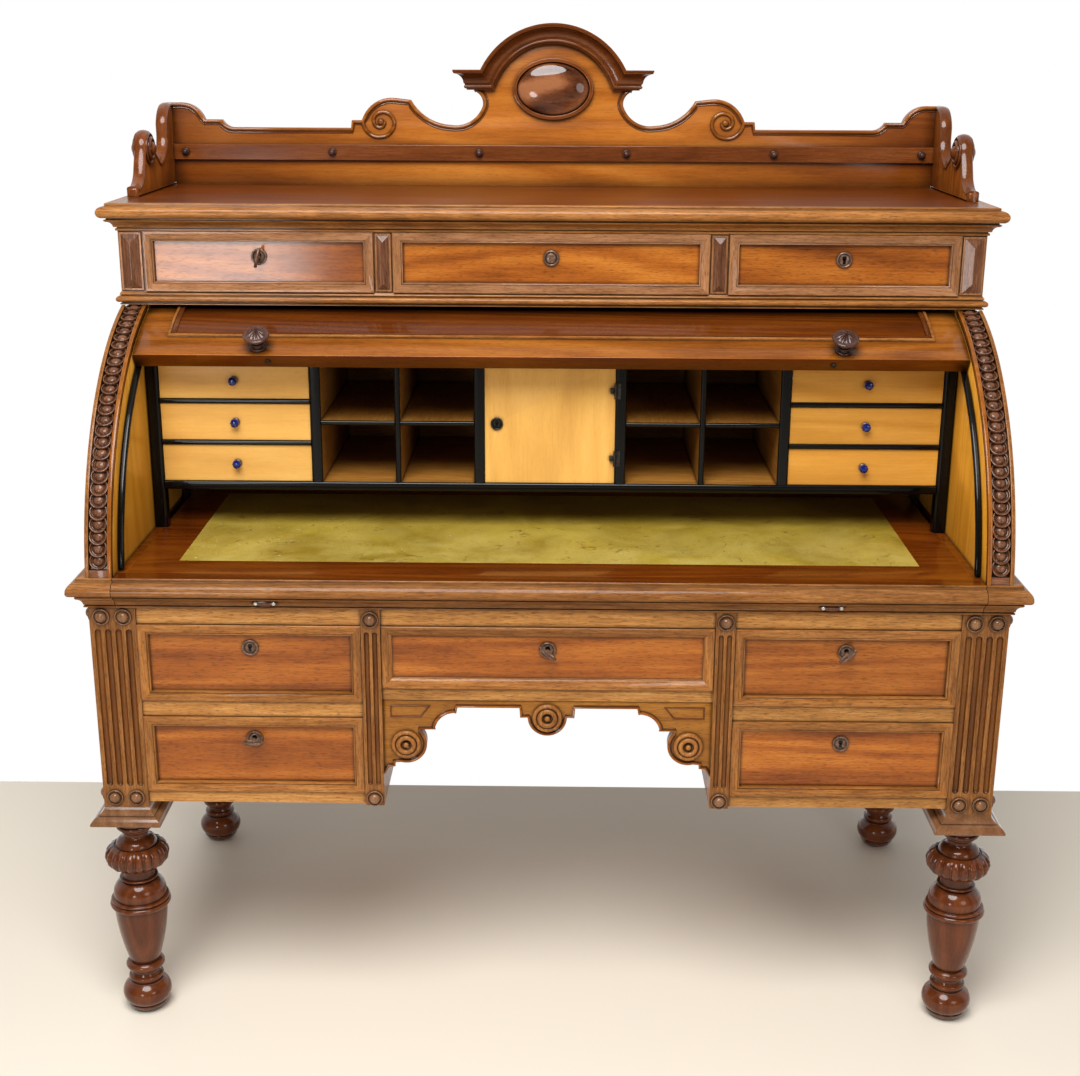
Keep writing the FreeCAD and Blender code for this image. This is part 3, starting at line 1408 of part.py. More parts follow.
def make_locked_drawer(name, x, z, face, depth, lock, plate):
    """A drawer with a framed front, a lock case behind it and a round plate about its keyhole."""
    left, right = f"{x[0]} + drawer_play", f"{x[1]} - drawer_play"
    low, high = f"{z[0]} + drawer_play", f"{z[1]} - drawer_play"
    out = f"{face} - drawer_frame_proud"
    panel = f"{out} + drawer_frame_sink"
    back = f"{face} + drawer_front"
    blank = board(f"{name}_front_blank", (left, right), (out, back), (low, high))
    sink = board(
        f"{name}_sink",
        (f"{left} + drawer_frame", f"{right} - drawer_frame"),
        (f"{out} - {OVERSHOOT}", panel),
        (f"{low} + drawer_frame", f"{high} - drawer_frame"),
    )
    hole = rod(f"{name}_keyhole", "keyhole_radius", f"{back} - ({panel})", FRONTWARD, lock[0], back, lock[1])
    lock_back = f"{back} + lock_depth"
    case = board(
        f"{name}_lock_blank",
        (f"{lock[0]} - lock_half_width", f"{lock[0]} + lock_half_width"),
        (back, lock_back),
        (f"{lock[1]} - lock_half_height", f"{lock[1]} + lock_half_height"),
    )
    bore = rod(f"{name}_lock_bore", "keyhole_radius", "lock_depth", FRONTWARD, lock[0], lock_back, lock[1])
    node(
        name,
        [
            cut(f"{name}_front", blank, [sink, hole]),
            cut(f"{name}_lock", case, [bore]),
            copy_of(plate, f"{name}_plate", lock[0], panel, lock[1]),
        ]
        + drawer_box(name, x, z, face, depth, "drawer_front", "drawer_side"),
    )
    return lock[0], panel, lock[1]


def flipped(span):
    return f"-({span[1]})", f"-({span[0]})"


def make_drawers(plate):
    """The five drawers of the base and the three of the frieze; returns each keyhole's place."""
    outer = (STILE_OUT, POST_IN)
    lock_x = f"({STILE_OUT} + {POST_IN}) / 2"
    depth = f"({BASE_BACK} - rail_setback - base_drawer_gap)"
    rows = {"upper": (UPPER_LOW, UPPER_TOP), "lower": (LOWER_LOW, LOWER_TOP)}
    locks = {}
    for row, z in rows.items():
        level = f"{z[1]} - lock_drop"
        for side, x, place in (("left", flipped(outer), f"-({lock_x})"), ("right", outer, lock_x)):
            name = f"{row}_{side}_drawer"
            locks[name] = make_locked_drawer(name, x, z, "rail_setback", depth, (place, level), plate)
    centre = ("-knee_half_width", "knee_half_width")
    z = (CENTRE_LOW, UPPER_TOP)
    lock = ("0", f"{UPPER_TOP} - lock_drop")
    name = "centre_drawer"
    locks[name] = make_locked_drawer(name, centre, z, "rail_setback", depth, lock, plate)

    z = (FRIEZE_LOW, FRIEZE_TOP)
    level = f"{FRIEZE_TOP} - frieze_lock_drop"
    side = (DIVIDER_OUT, SIDE_IN)
    middle = ("-divider_half_gap", "divider_half_gap")
    lock_x = f"({DIVIDER_OUT} + {SIDE_IN}) / 2"
    depth = f"({BACK} - back_board - {CASE_FRONT} - frieze_drawer_gap)"
    spans = {"left": (flipped(side), f"-({lock_x})"), "centre": (middle, "0"), "right": (side, lock_x)}
    for key, (x, place) in spans.items():
        name = f"frieze_{key}_drawer"
        locks[name] = make_locked_drawer(name, x, z, CASE_FRONT, depth, (place, level), plate)
    return locks


def make_small_drawers():
    half_height = "(glass_knob_neck + glass_knob_height) / 2"
    knob = turning(
        "glass_knob",
        [
            ("0", "0"),
            ("glass_knob_stem", "0"),
            ("glass_knob_stem", "glass_knob_neck"),
            ("glass_knob_radius", "glass_knob_neck"),
            ("glass_knob_radius", half_height),
            Via(
                f"glass_knob_radius * {HALF_TURN}",
                f"{half_height} * (1 - {HALF_TURN}) + glass_knob_height * {HALF_TURN}",
            ),
            (TIP, "glass_knob_height"),
            ("0", "glass_knob_height"),
        ],
        FRONTWARD,
    )
    bank = (BANK_IN, BANK_OUT)
    depth = "(2 * nook_reach - small_drawer_gap)"
    for row, label in enumerate(("bottom", "middle", "top")):
        low = f"{NOOK_FLOOR} + {row} * ({SMALL_HEIGHT} + small_rail)"
        z = (low, f"{low} + {SMALL_HEIGHT}")
        for side, x in (("left", flipped(bank)), ("right", bank)):
            name = f"small_drawer_{side}_{label}"
            front = board(
                f"{name}_front",
                (f"{x[0]} + drawer_play", f"{x[1]} - drawer_play"),
                (NOOK_FRONT, f"{NOOK_FRONT} + small_drawer_front"),
                (f"{z[0]} + drawer_play", f"{z[1]} - drawer_play"),
            )
            middle = f"({x[0]} + {x[1]}) / 2"
            knob_copy = copy_of(knob, f"{name}_knob", middle, NOOK_FRONT, f"({z[0]} + {z[1]}) / 2")
            box = drawer_box(name, x, z, NOOK_FRONT, depth, "small_drawer_front", "small_drawer_side")
            node(name, [front, knob_copy] + box)


def make_keys(locks):
    """The keys, each a shank in its lock and a ring to turn it by."""
    shank = doc.addObject("Part::Cylinder", "key_shank")
    bind(shank, "Radius", "key_radius")
    bind(shank, "Height", "key_depth + key_reach")
    shank.Placement.Rotation = FRONTWARD
    bind(shank, "Placement.Base.y", "key_depth")
    bow = doc.addObject("Part::Torus", "key_bow")
    bind(bow, "Radius1", "key_bow_radius")
    bind(bow, "Radius2", "key_bow_wire")
    bow.Placement.Rotation = SIDEWAYS
    bind(bow, "Placement.Base.y", "-(key_reach + key_bow_radius)")
    key = doc.addObject("Part::Fuse", "key")
    key.Base = shank
    key.Tool = bow
    for drawer in ("lower_left_drawer", "centre_drawer", "upper_right_drawer", "frieze_left_drawer"):
        node(f"{drawer}_key", [copy_of(key, f"{drawer}_key_copy", *locks[drawer])])


plate = turning(
    "key_plate",
    [
        ("keyhole_radius", "0"),
        ("plate_radius", "0"),
        ("plate_radius", "plate_rim"),
        Via("(plate_radius + keyhole_radius) / 2", "plate_height"),
        ("keyhole_radius", "plate_rim"),
    ],
    FRONTWARD,
)
make_legs()
make_posts()
make_base()
make_apron()
make_desk_top()
make_sides()
make_lid()
make_frieze_case()
make_gallery()
make_nook()
make_door(plate)
drawer_locks = make_drawers(plate)
make_small_drawers()
make_keys(drawer_locks)
doc.recompute()

failed = [o.Name for o in doc.Objects if "Invalid" in o.State or "Error" in o.State]
failed += [o.Label for o in nodes if o.Shape.isNull() or not o.Shape.isValid()]
if failed:
    raise RuntimeError(f"these did not build: {failed}")
os.makedirs("parts", exist_ok=True)
for sub_part in nodes:
    sub_part.Shape.exportStep(f"parts/{sub_part.Label}.step")
print(len(nodes), "sub-parts,", sum(len(o.Shape.Solids) for o in nodes), "solids")
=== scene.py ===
# %% [markdown]
# # The looks of a cylinder desk
# A cylinder desk hides its writing surface behind a curved lid, which rolls up under a case of drawers. The
# packed solids already stand where they should, so each step here takes a piece of the desk, asks how a
# joiner, turner or carver made it, and gives it the edges, turning and surface that the plain solid lacks.

# %% Load the packed desk
import json
import math
import random
from collections import Counter

import bmesh
import bpy
from mathutils import Matrix, Vector


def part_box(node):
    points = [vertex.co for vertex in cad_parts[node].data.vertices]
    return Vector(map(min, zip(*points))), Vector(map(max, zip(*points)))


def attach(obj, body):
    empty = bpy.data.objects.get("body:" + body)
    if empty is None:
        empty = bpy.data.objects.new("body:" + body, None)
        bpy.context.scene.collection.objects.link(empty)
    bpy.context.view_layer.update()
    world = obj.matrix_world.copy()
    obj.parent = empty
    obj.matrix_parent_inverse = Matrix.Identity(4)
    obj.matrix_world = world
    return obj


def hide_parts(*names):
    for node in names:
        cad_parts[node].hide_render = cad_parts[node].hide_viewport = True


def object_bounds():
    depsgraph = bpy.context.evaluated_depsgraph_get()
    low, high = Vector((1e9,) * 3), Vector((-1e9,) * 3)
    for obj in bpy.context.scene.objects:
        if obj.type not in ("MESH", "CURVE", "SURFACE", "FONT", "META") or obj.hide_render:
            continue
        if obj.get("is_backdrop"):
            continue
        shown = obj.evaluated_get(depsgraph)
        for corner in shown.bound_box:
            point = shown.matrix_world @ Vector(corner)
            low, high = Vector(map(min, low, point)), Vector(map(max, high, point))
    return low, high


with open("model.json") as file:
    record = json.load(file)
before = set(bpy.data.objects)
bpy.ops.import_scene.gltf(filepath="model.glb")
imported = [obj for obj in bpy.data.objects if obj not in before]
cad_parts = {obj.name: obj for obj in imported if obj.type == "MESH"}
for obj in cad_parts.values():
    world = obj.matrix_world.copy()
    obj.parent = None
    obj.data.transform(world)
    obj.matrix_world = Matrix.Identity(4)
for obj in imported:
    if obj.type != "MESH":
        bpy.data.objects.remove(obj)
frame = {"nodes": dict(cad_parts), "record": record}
cad_low, cad_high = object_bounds()
BODY_OF = {}
for body, members in frame["record"]["behaviour"]["bodies"].items():
    for member in members:
        BODY_OF[member] = body
MM = 0.001
X, Y, Z = Vector((1, 0, 0)), Vector((0, 1, 0)), Vector((0, 0, 1))
print("nodes:", len(BODY_OF), "size:", [round(side, 3) for side in cad_high - cad_low])

# %% [markdown]
# ## The camera
# The photograph was taken from a little left of the middle, at standing height, looking down at the desk.
# Fitting straight edges of the desk to the photo gave the lens and the place; here they are put to use.

# %% Camera
SENSOR = 36.0
LENS = 52.89
STAND = Vector((0.01205, -2.6999, 1.5876))
PITCH, YAW, ROLL = math.radians(17.07), math.radians(-0.61), math.radians(-0.27)

look = Vector((math.sin(YAW) * math.cos(PITCH), math.cos(YAW) * math.cos(PITCH), -math.sin(PITCH)))
right = look.cross(Z).normalized()
down = look.cross(right)
level_right = right * math.cos(ROLL) + down * math.sin(ROLL)
level_down = down * math.cos(ROLL) - right * math.sin(ROLL)
turn = Matrix((level_right, -level_down, -look)).transposed()
lens = bpy.data.cameras.new("photo_camera")
lens.sensor_fit = "HORIZONTAL"
lens.sensor_width = SENSOR
lens.lens = LENS
camera = bpy.data.objects.new("photo_camera", lens)
camera.matrix_world = Matrix.Translation(STAND) @ turn.to_4x4()
bpy.context.scene.collection.objects.link(camera)
bpy.context.scene.camera = camera
print("camera", [round(v, 3) for v in camera.location], "lens", LENS)

# %% [markdown]
# ## Short ways to make nodes
# A finish is a small graph of nodes that feeds one main shader. It could be wired by hand in the editor.
# The same few nodes come back in every finish of this desk, though: a noise, a sum, a range, a mix. Naming
# each of them once keeps every finish down to a few lines.

# %% Node helpers
class Nodes:
    """Short ways to make the nodes of a material or of the world."""

    def __init__(self, tree):
        self.tree = tree

    def feed(self, socket, given):
        """Sets a socket to a constant, or links it to another node's output."""
        if isinstance(given, (int, float, tuple)):
            socket.default_value = given
        else:
            self.tree.links.new(given, socket)

    def node(self, kind, sockets=(), **settings):
        made = self.tree.nodes.new(f"ShaderNode{kind}")
        for key, setting in settings.items():
            setattr(made, key, setting)
        for key, given in dict(sockets).items():
            self.feed(made.inputs[key], given)
        return made

    def number(self, operation, *values):
        return self.node("Math", enumerate(values), operation=operation).outputs[0]

    def vector(self, operation, *values):
        return self.node("VectorMath", enumerate(values), operation=operation).outputs[0]

    def scaled(self, given, factor):
        return self.node("VectorMath", {0: given, "Scale": factor}, operation="SCALE").outputs[0]

    def apart(self, given):
        return self.node("SeparateXYZ", {0: given}).outputs

    def noise(self, place, scale, detail, roughness=0.5, distortion=0.0):
        sockets = {"Vector": place, "Scale": scale, "Detail": detail, "Roughness": roughness}
        return self.node("TexNoise", {**sockets, "Distortion": distortion}).outputs["Fac"]

    def ranged(self, given, low, high, to_low, to_high):
        ends = {"From Min": low, "From Max": high, "To Min": to_low, "To Max": to_high}
        return self.node("MapRange", {"Value": given, **ends}).outputs["Result"]

    def mixed(self, kind, factor, a, b):
        sockets = {"Factor": factor, "A": a, "B": b}
        return self.node("Mix", sockets, data_type="RGBA", blend_type=kind).outputs["Result"]

    def grey(self, given):
        """The same number as red, green and blue."""
        sockets = {channel: given for channel in ("Red", "Green", "Blue")}
        return self.node("CombineColor", sockets).outputs["Color"]

    def ramp(self, given, *stops):
        """Colours at places from 0 to 1, looked up by a number. The first two stops are the ends."""
        made = self.node("ValToRGB", {"Fac": given})
        elements = made.color_ramp.elements
        for n, (position, colour) in enumerate(stops):
            stop = elements[n] if n < 2 else elements.new(position)
            stop.position, stop.color = position, (*colour, 1)
        return made.outputs["Color"]

    def bump(self, height, strength, distance):
        sockets = {"Height": height, "Strength": strength, "Distance": distance}
        return self.node("Bump", sockets).outputs["Normal"]


class Finish(Nodes):
    """A new material, and the nodes that feed its main shader."""

    def __init__(self, name, colour, roughness):
        self.material = bpy.data.materials.new(name)
        self.material.use_nodes = True
        super().__init__(self.material.node_tree)
        self.shader = self.tree.nodes["Principled BSDF"]
        self.give({"Base Color": (*colour, 1), "Roughness": roughness})

    def give(self, sockets):
        for key, given in sockets.items():
            self.feed(self.shader.inputs[key], given)

    def place(self):
        return self.node("TexCoord").outputs["Object"]


print("node helpers:", [name for name in vars(Nodes) if not name.startswith("_")])

# %% [markdown]
# ## The room
# A pale floor and a white surround show the shape plainly. The main lamp is large and overhead, so
# mouldings get a highlight on top and a shade below. A weak round one stands on each side; the left one
# shows in the polish.

# %% Floor, surround and lamps
FLOOR_HALF = 9.0
FLOOR_BACK = 0.56
FLOOR_COLOUR, FLOOR_ROUGH = (0.78, 0.705, 0.595), 0.6
# Each lamp's place, target, size in metres and power in watts
LAMPS = {
    "lamp_ceiling": ((-0.4, -2.2, 3.6), (0.0, 0.0, 0.7), 2.4, 188),
    "lamp_left": ((-1.25, -3.3, 0.80), (-0.2, 0.0, 0.85), 0.66, 12),
    "lamp_right": ((2.2, -3.3, 1.6), (0.0, 0.0, 0.75), 1.4, 18),
}

floor_mesh = bmesh.new()
bmesh.ops.create_grid(floor_mesh, x_segments=1, y_segments=1, size=FLOOR_HALF)
bmesh.ops.translate(floor_mesh, verts=floor_mesh.verts, vec=(0, FLOOR_BACK - FLOOR_HALF, 0))
floor_data = bpy.data.meshes.new("floor")
floor_mesh.to_mesh(floor_data)
floor_data.materials.append(Finish("pale_floor", FLOOR_COLOUR, FLOOR_ROUGH).material)
floor = bpy.data.objects.new("floor", floor_data)
bpy.context.scene.collection.objects.link(floor)
floor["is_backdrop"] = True

for name, (place, target, size, power) in LAMPS.items():
    lamp = bpy.data.lights.new(name, "AREA")
    lamp.shape = "DISK"
    lamp.size = size
    lamp.energy = power
    holder = bpy.data.objects.new(name, lamp)
    holder.location = place
    holder.rotation_euler = (Vector(target) - Vector(place)).to_track_quat("-Z", "Y").to_euler()
    bpy.context.scene.collection.objects.link(holder)
print("lamps:", sorted(LAMPS))

# %% [markdown]
# The surround is white where the camera looks at it. Polish and glass mirror it too: white behind the desk,
# and dimmer in front, like a room seen from the wall. All other light from it is weak, so the lamps do the
# modelling.

# %% White surround
AMBIENT = 0.33
# How bright polish sees the room in front and the wall behind, and where one passes into the other
ROOM_FRONT, ROOM_BACK = 0.10, 1.0
TURN_LOW, TURN_HIGH = -0.35, 0.2

world = bpy.data.worlds.new("surround")
bpy.context.scene.world = world
world.use_nodes = True
sky = Nodes(world.node_tree)
rays = sky.node("LightPath").outputs
way = sky.apart(sky.node("TexCoord").outputs["Generated"])
room = sky.ranged(way["Y"], TURN_LOW, TURN_HIGH, ROOM_FRONT, ROOM_BACK)
mirrored = sky.node("Mix", {"Factor": rays["Is Glossy Ray"], "A": AMBIENT, "B": room}).outputs["Result"]
seen = sky.number("MAXIMUM", rays["Is Camera Ray"], rays["Is Transmission Ray"])
strength = sky.node("Mix", {"Factor": seen, "A": mirrored, "B": 1.0}).outputs["Result"]
background = sky.tree.nodes["Background"]
sky.feed(background.inputs["Strength"], strength)
sky.feed(background.inputs["Color"], (1, 1, 1, 1))
bpy.context.scene.view_settings.view_transform = "Standard"
print("surround:", world.name)

# %% [markdown]
# ## Taking a node apart
# A node may hold many boards. Its triangles come board by board, and a board is finished when every edge
# has met its twin. Cutting the list there gives each board as a mesh of its own, even where two boards
# touch.

# %% Boards of a node
FLAT_ANGLE = math.radians(1)
MERGE = 0.00001


def closed_runs(mesh):
    loose = Counter()
    start = 0
    runs = []
    for polygon in mesh.polygons:
        corners = [mesh.vertices[i].co.to_tuple(6) for i in polygon.vertices]
        for a, b in zip(corners, corners[1:] + corners[:1]):
            if a == b:
                continue
            if loose[b, a] > 0:
                loose[b, a] -= 1
                if not loose[b, a]:
                    del loose[b, a]
            else:
                del loose[b, a]
                loose[a, b] += 1
        if not loose:
            runs.append((start, polygon.index + 1))
            start = polygon.index + 1
    return runs


def boards(node):
    """Every solid of a CAD node as a clean mesh: doubles merged and flat triangles joined."""
    mesh = frame["nodes"][node].data
    found = []
    for start, stop in closed_runs(mesh):
        bm = bmesh.new()
        bm.from_mesh(mesh)
        bm.faces.ensure_lookup_table()
        others = [face for face in bm.faces if not start <= face.index < stop]
        bmesh.ops.delete(bm, geom=others, context="FACES")
        bmesh.ops.remove_doubles(bm, verts=bm.verts, dist=MERGE)
        bmesh.ops.dissolve_limit(bm, angle_limit=FLAT_ANGLE, verts=bm.verts, edges=bm.edges)
        found.append(bm)
    return found


def box_of(bm):
    places = [vert.co for vert in bm.verts]
    return Vector(map(min, zip(*places))), Vector(map(max, zip(*places)))


def long_side(bm):
    low, high = box_of(bm)
    sides = high - low
    return (X, Y, Z)[max(range(3), key=lambda axis: sides[axis])]


print("boards in the pigeonhole case:", len(boards("pigeonhole_case")))

# %% [markdown]
# ## A piece of the visual
# Real wood is known by its grain. Every face therefore carries two marks: the direction its grain runs, and
# a number for the board it was cut from. One wood material reads both, so neighbouring boards differ in
# figure and a mitre shows where two grains meet.

# %% Pieces
SHARP = math.radians(26)
SOFTEN_OVER = math.radians(28)
FACING = 0.9  # how far a face's normal agrees with a way before the face counts as facing it
dice = random.Random(19)


def thrown():
    """A place for one board in the grain, drawn by chance."""
    return Vector((dice.random(), dice.random(), dice.random()))


class Piece:
    """One visible mesh, gathered board by board, that stands for some CAD nodes."""

    def __init__(self, name, *nodes):
        self.name = name
        self.nodes = nodes
        self.mesh = bmesh.new()
        self.mesh.faces.layers.float_vector.new("grain")
        self.mesh.faces.layers.float_vector.new("board")
        self.mesh.faces.layers.float.new("worn")
        self.materials = []

    def add(self, bm, material, grain=None):
        """Takes in a mesh. Grain is a direction, the long side when left out, or a function of the face."""
        if material not in self.materials:
            self.materials.append(material)
        layers = bm.faces.layers.float_vector
        directions = layers.get("grain") or layers.new("grain")
        numbers = layers.get("board") or layers.new("board")
        number = thrown()
        direction = long_side(bm) if grain is None else grain
        for face in bm.faces:
            face.material_index = self.materials.index(material)
            if callable(direction):
                face[directions], face[numbers] = direction(face, number)
            else:
                face[directions], face[numbers] = direction, number
        mesh = bpy.data.meshes.new("board")
        bm.to_mesh(mesh)
        self.mesh.from_mesh(mesh)
        bpy.data.meshes.remove(mesh)
        bm.free()

    def finish(self, slot, sharp=SHARP):
        mesh = bpy.data.meshes.new(self.name)
        self.mesh.to_mesh(mesh)
        self.mesh.free()
        for material in self.materials:
            mesh.materials.append(material)
        mesh.shade_smooth()
        mesh.set_sharp_from_angle(angle=sharp)
        made = bpy.data.objects.new(self.name, mesh)
        bpy.context.scene.collection.objects.link(made)
        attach(made, BODY_OF[self.nodes[0]])
        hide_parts(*self.nodes)
        print(self.name, len(mesh.polygons), "faces")
        return made


def soften(bm, width=0.7 * MM, segments=2, edges=None):
    """Rounds sharp edges a little, as a scraper and years of handling do, and marks them as worn; the wood
    paints these faces paler, as real wear and as a faint painted highlight along each edge.
    """
    worn = bm.faces.layers.float.get("worn") or bm.faces.layers.float.new("worn")
    if edges is None:
        edges = [edge for edge in bm.edges if edge.is_manifold and edge.calc_face_angle(0) > SOFTEN_OVER]
    made = bmesh.ops.bevel(
        bm,
        geom=edges,
        offset=width,
        offset_type="OFFSET",
        affect="EDGES",
        segments=segments,
        profile=0.5,
        material=-1,
        clamp_overlap=True,
    )
    for face in made["faces"]:
        face[worn] = 1.0
    return bm


def split(bm, test):
    """Takes the faces that pass a test out of a mesh and gives them back as another mesh."""
    bm.faces.index_update()
    chosen = {face.index for face in bm.faces if test(face)}
    taken = bm.copy()
    taken.faces.index_update()
    for mesh, kept in ((bm, False), (taken, True)):
        spare = [face for face in mesh.faces if (face.index in chosen) != kept]
        bmesh.ops.delete(mesh, geom=spare, context="FACES")
    return taken


def saw(bm, place, normal, **options):
    """Cuts every face along a plane."""
    geometry = bm.verts[:] + bm.edges[:] + bm.faces[:]
    bmesh.ops.bisect_plane(bm, geom=geometry, dist=MERGE, plane_co=place, plane_no=normal, **options)


def inset_steps(bm, faces, steps):
    """Draws a moulding round some faces: each step goes in by a width and up by a rise, both in mm."""
    for width, rise in steps:
        bmesh.ops.inset_region(
            bm, faces=faces, thickness=width * MM, depth=rise * MM, use_even_offset=True, use_boundary=True
        )


def softened(node, slot, material, grain=None, width=0.7 * MM, segments=2):
    """The common case: all boards of a node, softened, in one material."""
    piece = Piece(f"{node}_look", node)
    for bm in boards(node):
        direction = long_side(bm) if grain is None else grain
        piece.add(soften(bm, width, segments), material, direction)
    return piece.finish(slot)


# %% [markdown]
# ## Wood
# Polished walnut shows three things at once: broad figure from the growth rings, thin streaks along the
# grain, and short dark pores. Corners and recesses are painted darker, as painted shade with some wax grime,
# and edges are rubbed paler, as wear that also paints a faint highlight along them. Each of these is one
# small texture, stretched along the grain, and the board's number shifts them so no two boards repeat.

# %% Wood materials
# How fine each texture is: growth rings, streaks along the grain, soft clouds and pores
RING_SCALE, STREAK_SCALE, CLOUD_SCALE, PORE_SCALE = 5.5, 300.0, 9.0, 820.0
# How strongly streaks, clouds and rings move the colour between dark and light
STREAK, CLOUD, RINGS = 1.5, 1.25, 0.16
BOARD_SHIFT = 5.0
PORE_TONE, WEAR_AND_HIGHLIGHT_TONE = 0.40, 1.3
BOARD_DARKEST, BOARD_LIGHTEST = 0.86, 1.14
WOOD_BUMP, WOOD_BUMP_DEPTH = 0.35, 0.0004


def wood(
    name, dark, middle, light, figure=0.5, pores=0.5, gloss=0.3, stretch=9.0, ring=26.0, shade_and_grime=0.8, lines=1.0,
    reach=6.0, ends=None, sheen=0.09,
):
    """Polished wood in three tones.

    Shade and grime are painted into the corners: within a reach in mm, corners and recesses darken, as
    painted shade with some wax grime. Ends gives two distances from the middle of the desk, where a painted
    shade towards the ends starts and where it is full, and the tone of that shade.
    """
    finish = Finish(name, middle, 0.4)
    number, noise, ranged, mixed = finish.number, finish.noise, finish.ranged, finish.mixed
    coordinates = finish.place()
    grain = finish.node("Attribute", attribute_name="grain").outputs["Vector"]
    board = finish.node("Attribute", attribute_name="board").outputs["Vector"]
    worn = finish.node("Attribute", attribute_name="worn").outputs["Fac"]
    place = finish.vector("ADD", coordinates, finish.scaled(board, BOARD_SHIFT))
    along = finish.node("VectorMath", {0: place, 1: grain}, operation="DOT_PRODUCT").outputs["Value"]

    def drawn_out(times):
        """The place, with lengths along the grain made shorter, so that a texture is drawn out that way."""
        shortened = number("MULTIPLY", along, 1 - 1 / times)
        return finish.vector("SUBTRACT", place, finish.scaled(grain, shortened))

    slow = noise(drawn_out(stretch), RING_SCALE, 2.0, 0.5, 0.35)
    rings = number("SINE", number("MULTIPLY", slow, ring * 4))
    streak = noise(drawn_out(stretch * 1.6), STREAK_SCALE, 4.0, 0.66, 0.1)
    cloud = noise(drawn_out(3.0), CLOUD_SCALE, 6.0, 0.62)
    body = number("MULTIPLY_ADD", streak, STREAK * lines, 0.5 - 0.5 * STREAK * lines)
    body = number("ADD", body, number("MULTIPLY_ADD", cloud, CLOUD * figure, -0.5 * CLOUD * figure))
    body = number("ADD", body, number("MULTIPLY", rings, RINGS * figure))
    colour = finish.ramp(body, (0.0, dark), (1.0, light), (0.5, middle))

    pore = ranged(noise(drawn_out(9.0), PORE_SCALE, 1.0, 0.5), 0.56, 0.66, 0.0, pores)
    colour = mixed("MIX", pore, colour, tuple(PORE_TONE * part for part in dark) + (1,))
    lift = ranged(finish.apart(board)["Z"], 0.0, 1.0, BOARD_DARKEST, BOARD_LIGHTEST)
    colour = mixed("MULTIPLY", 1.0, colour, finish.grey(lift))
    # Painted shade, with some wax grime: corners and recesses within the reach grow darker.
    corner = finish.node("AmbientOcclusion", {"Distance": reach * MM}, samples=8).outputs["AO"]
    colour = mixed("MULTIPLY", 1.0, colour, finish.grey(ranged(corner, 0.42, 0.96, 1.0 - shade_and_grime, 1.0)))
    # Rounded edges are painted paler: real wear, and a faint painted highlight along each edge.
    rub_and_highlight = number("MULTIPLY", worn, ranged(cloud, 0.35, 0.65, 0.15, 0.65))
    colour = mixed("MIX", rub_and_highlight, colour, tuple(min(1.0, WEAR_AND_HIGHLIGHT_TONE * part) for part in light) + (1,))
    # Painted shade: the colour darkens towards both ends of the desk.
    if ends:
        start, stop, tone = ends
        end_shade = ranged(number("ABSOLUTE", finish.apart(coordinates)["X"]), start, stop, 0.0, 1.0)
        colour = mixed("MULTIPLY", end_shade, colour, tone)

    polish = number("ADD", number("MULTIPLY", streak, 0.18), number("MULTIPLY", cloud, 0.16))
    height = number("SUBTRACT", number("MULTIPLY", streak, 0.5), pore)
    finish.give({
        "Base Color": colour,
        "Roughness": number("ADD", polish, 0.46 - gloss),
        "Coat Weight": 1.2 * gloss,
        "Coat Roughness": sheen,
        "Specular IOR Level": 0.09,
        "Normal": finish.bump(height, WOOD_BUMP, WOOD_BUMP_DEPTH),
    })
    return finish.material


print("wood textures at scales", RING_SCALE, STREAK_SCALE, CLOUD_SCALE, PORE_SCALE)

# %% [markdown]
# One tree gives many tones. Light has bleached the rails, the drawer panels were cut for their figure, and
# the legs and mouldings were stained darker. Each wood below is the same recipe with its own dark, middle
# and light tone, and with as much figure, pores and gloss as the polisher left on it.

# %% Kinds of wood
walnut = wood(
    "walnut", (0.085, 0.027, 0.006), (0.215, 0.080, 0.018), (0.370, 0.160, 0.046), 0.55, 0.48, 0.20,
)
tan = wood(
    "walnut_tan", (0.190, 0.074, 0.017), (0.390, 0.170, 0.043), (0.560, 0.285, 0.085), 0.55, 0.52, 0.18,
)
stick = wood(
    "walnut_frame", (0.105, 0.034, 0.007), (0.265, 0.098, 0.021), (0.420, 0.185, 0.050), 0.55, 0.50, 0.22,
)
pale = wood(
    "walnut_pale", (0.120, 0.045, 0.015), (0.265, 0.115, 0.046), (0.400, 0.195, 0.090), 0.50, 0.48, 0.30,
)
panel = wood(
    "walnut_panel", (0.105, 0.021, 0.003), (0.290, 0.079, 0.009), (0.455, 0.155, 0.022), 1.05, 0.40, 0.32,
    13.0, lines=0.52,
)
frieze = wood(
    "walnut_frieze", (0.105, 0.022, 0.003), (0.320, 0.086, 0.009), (0.510, 0.174, 0.022), 1.05, 0.40, 0.60,
    13.0, lines=0.52, sheen=0.14,
)
dark = wood(
    "walnut_dark", (0.036, 0.007, 0.002), (0.122, 0.031, 0.006), (0.220, 0.068, 0.015), 0.55, 0.25, 0.40,
    lines=0.55,
)
# Strong corner darkening, 9 mm deep: painted shade between the petals and rings of the legs.
leg_wood = wood(
    "walnut_leg", (0.030, 0.006, 0.002), (0.100, 0.024, 0.006), (0.190, 0.055, 0.015), 0.70, 0.15, 0.42,
    lines=0.32, shade_and_grime=0.95, reach=9.0,
)
stud_wood = wood(
    "walnut_stud", (0.050, 0.019, 0.007), (0.180, 0.078, 0.032), (0.340, 0.175, 0.085), 0.50, 0.15, 0.50,
    lines=0.4,
)
top_wood = wood(
    "walnut_top", (0.050, 0.008, 0.001), (0.127, 0.025, 0.001), (0.205, 0.052, 0.003), 0.75, 0.25, 0.28,
    12.0, lines=0.42,
)
slide_wood = wood(
    "walnut_slide", (0.045, 0.008, 0.001), (0.135, 0.028, 0.002), (0.230, 0.063, 0.004), 0.80, 0.20, 0.34,
    12.0, lines=0.40,
)
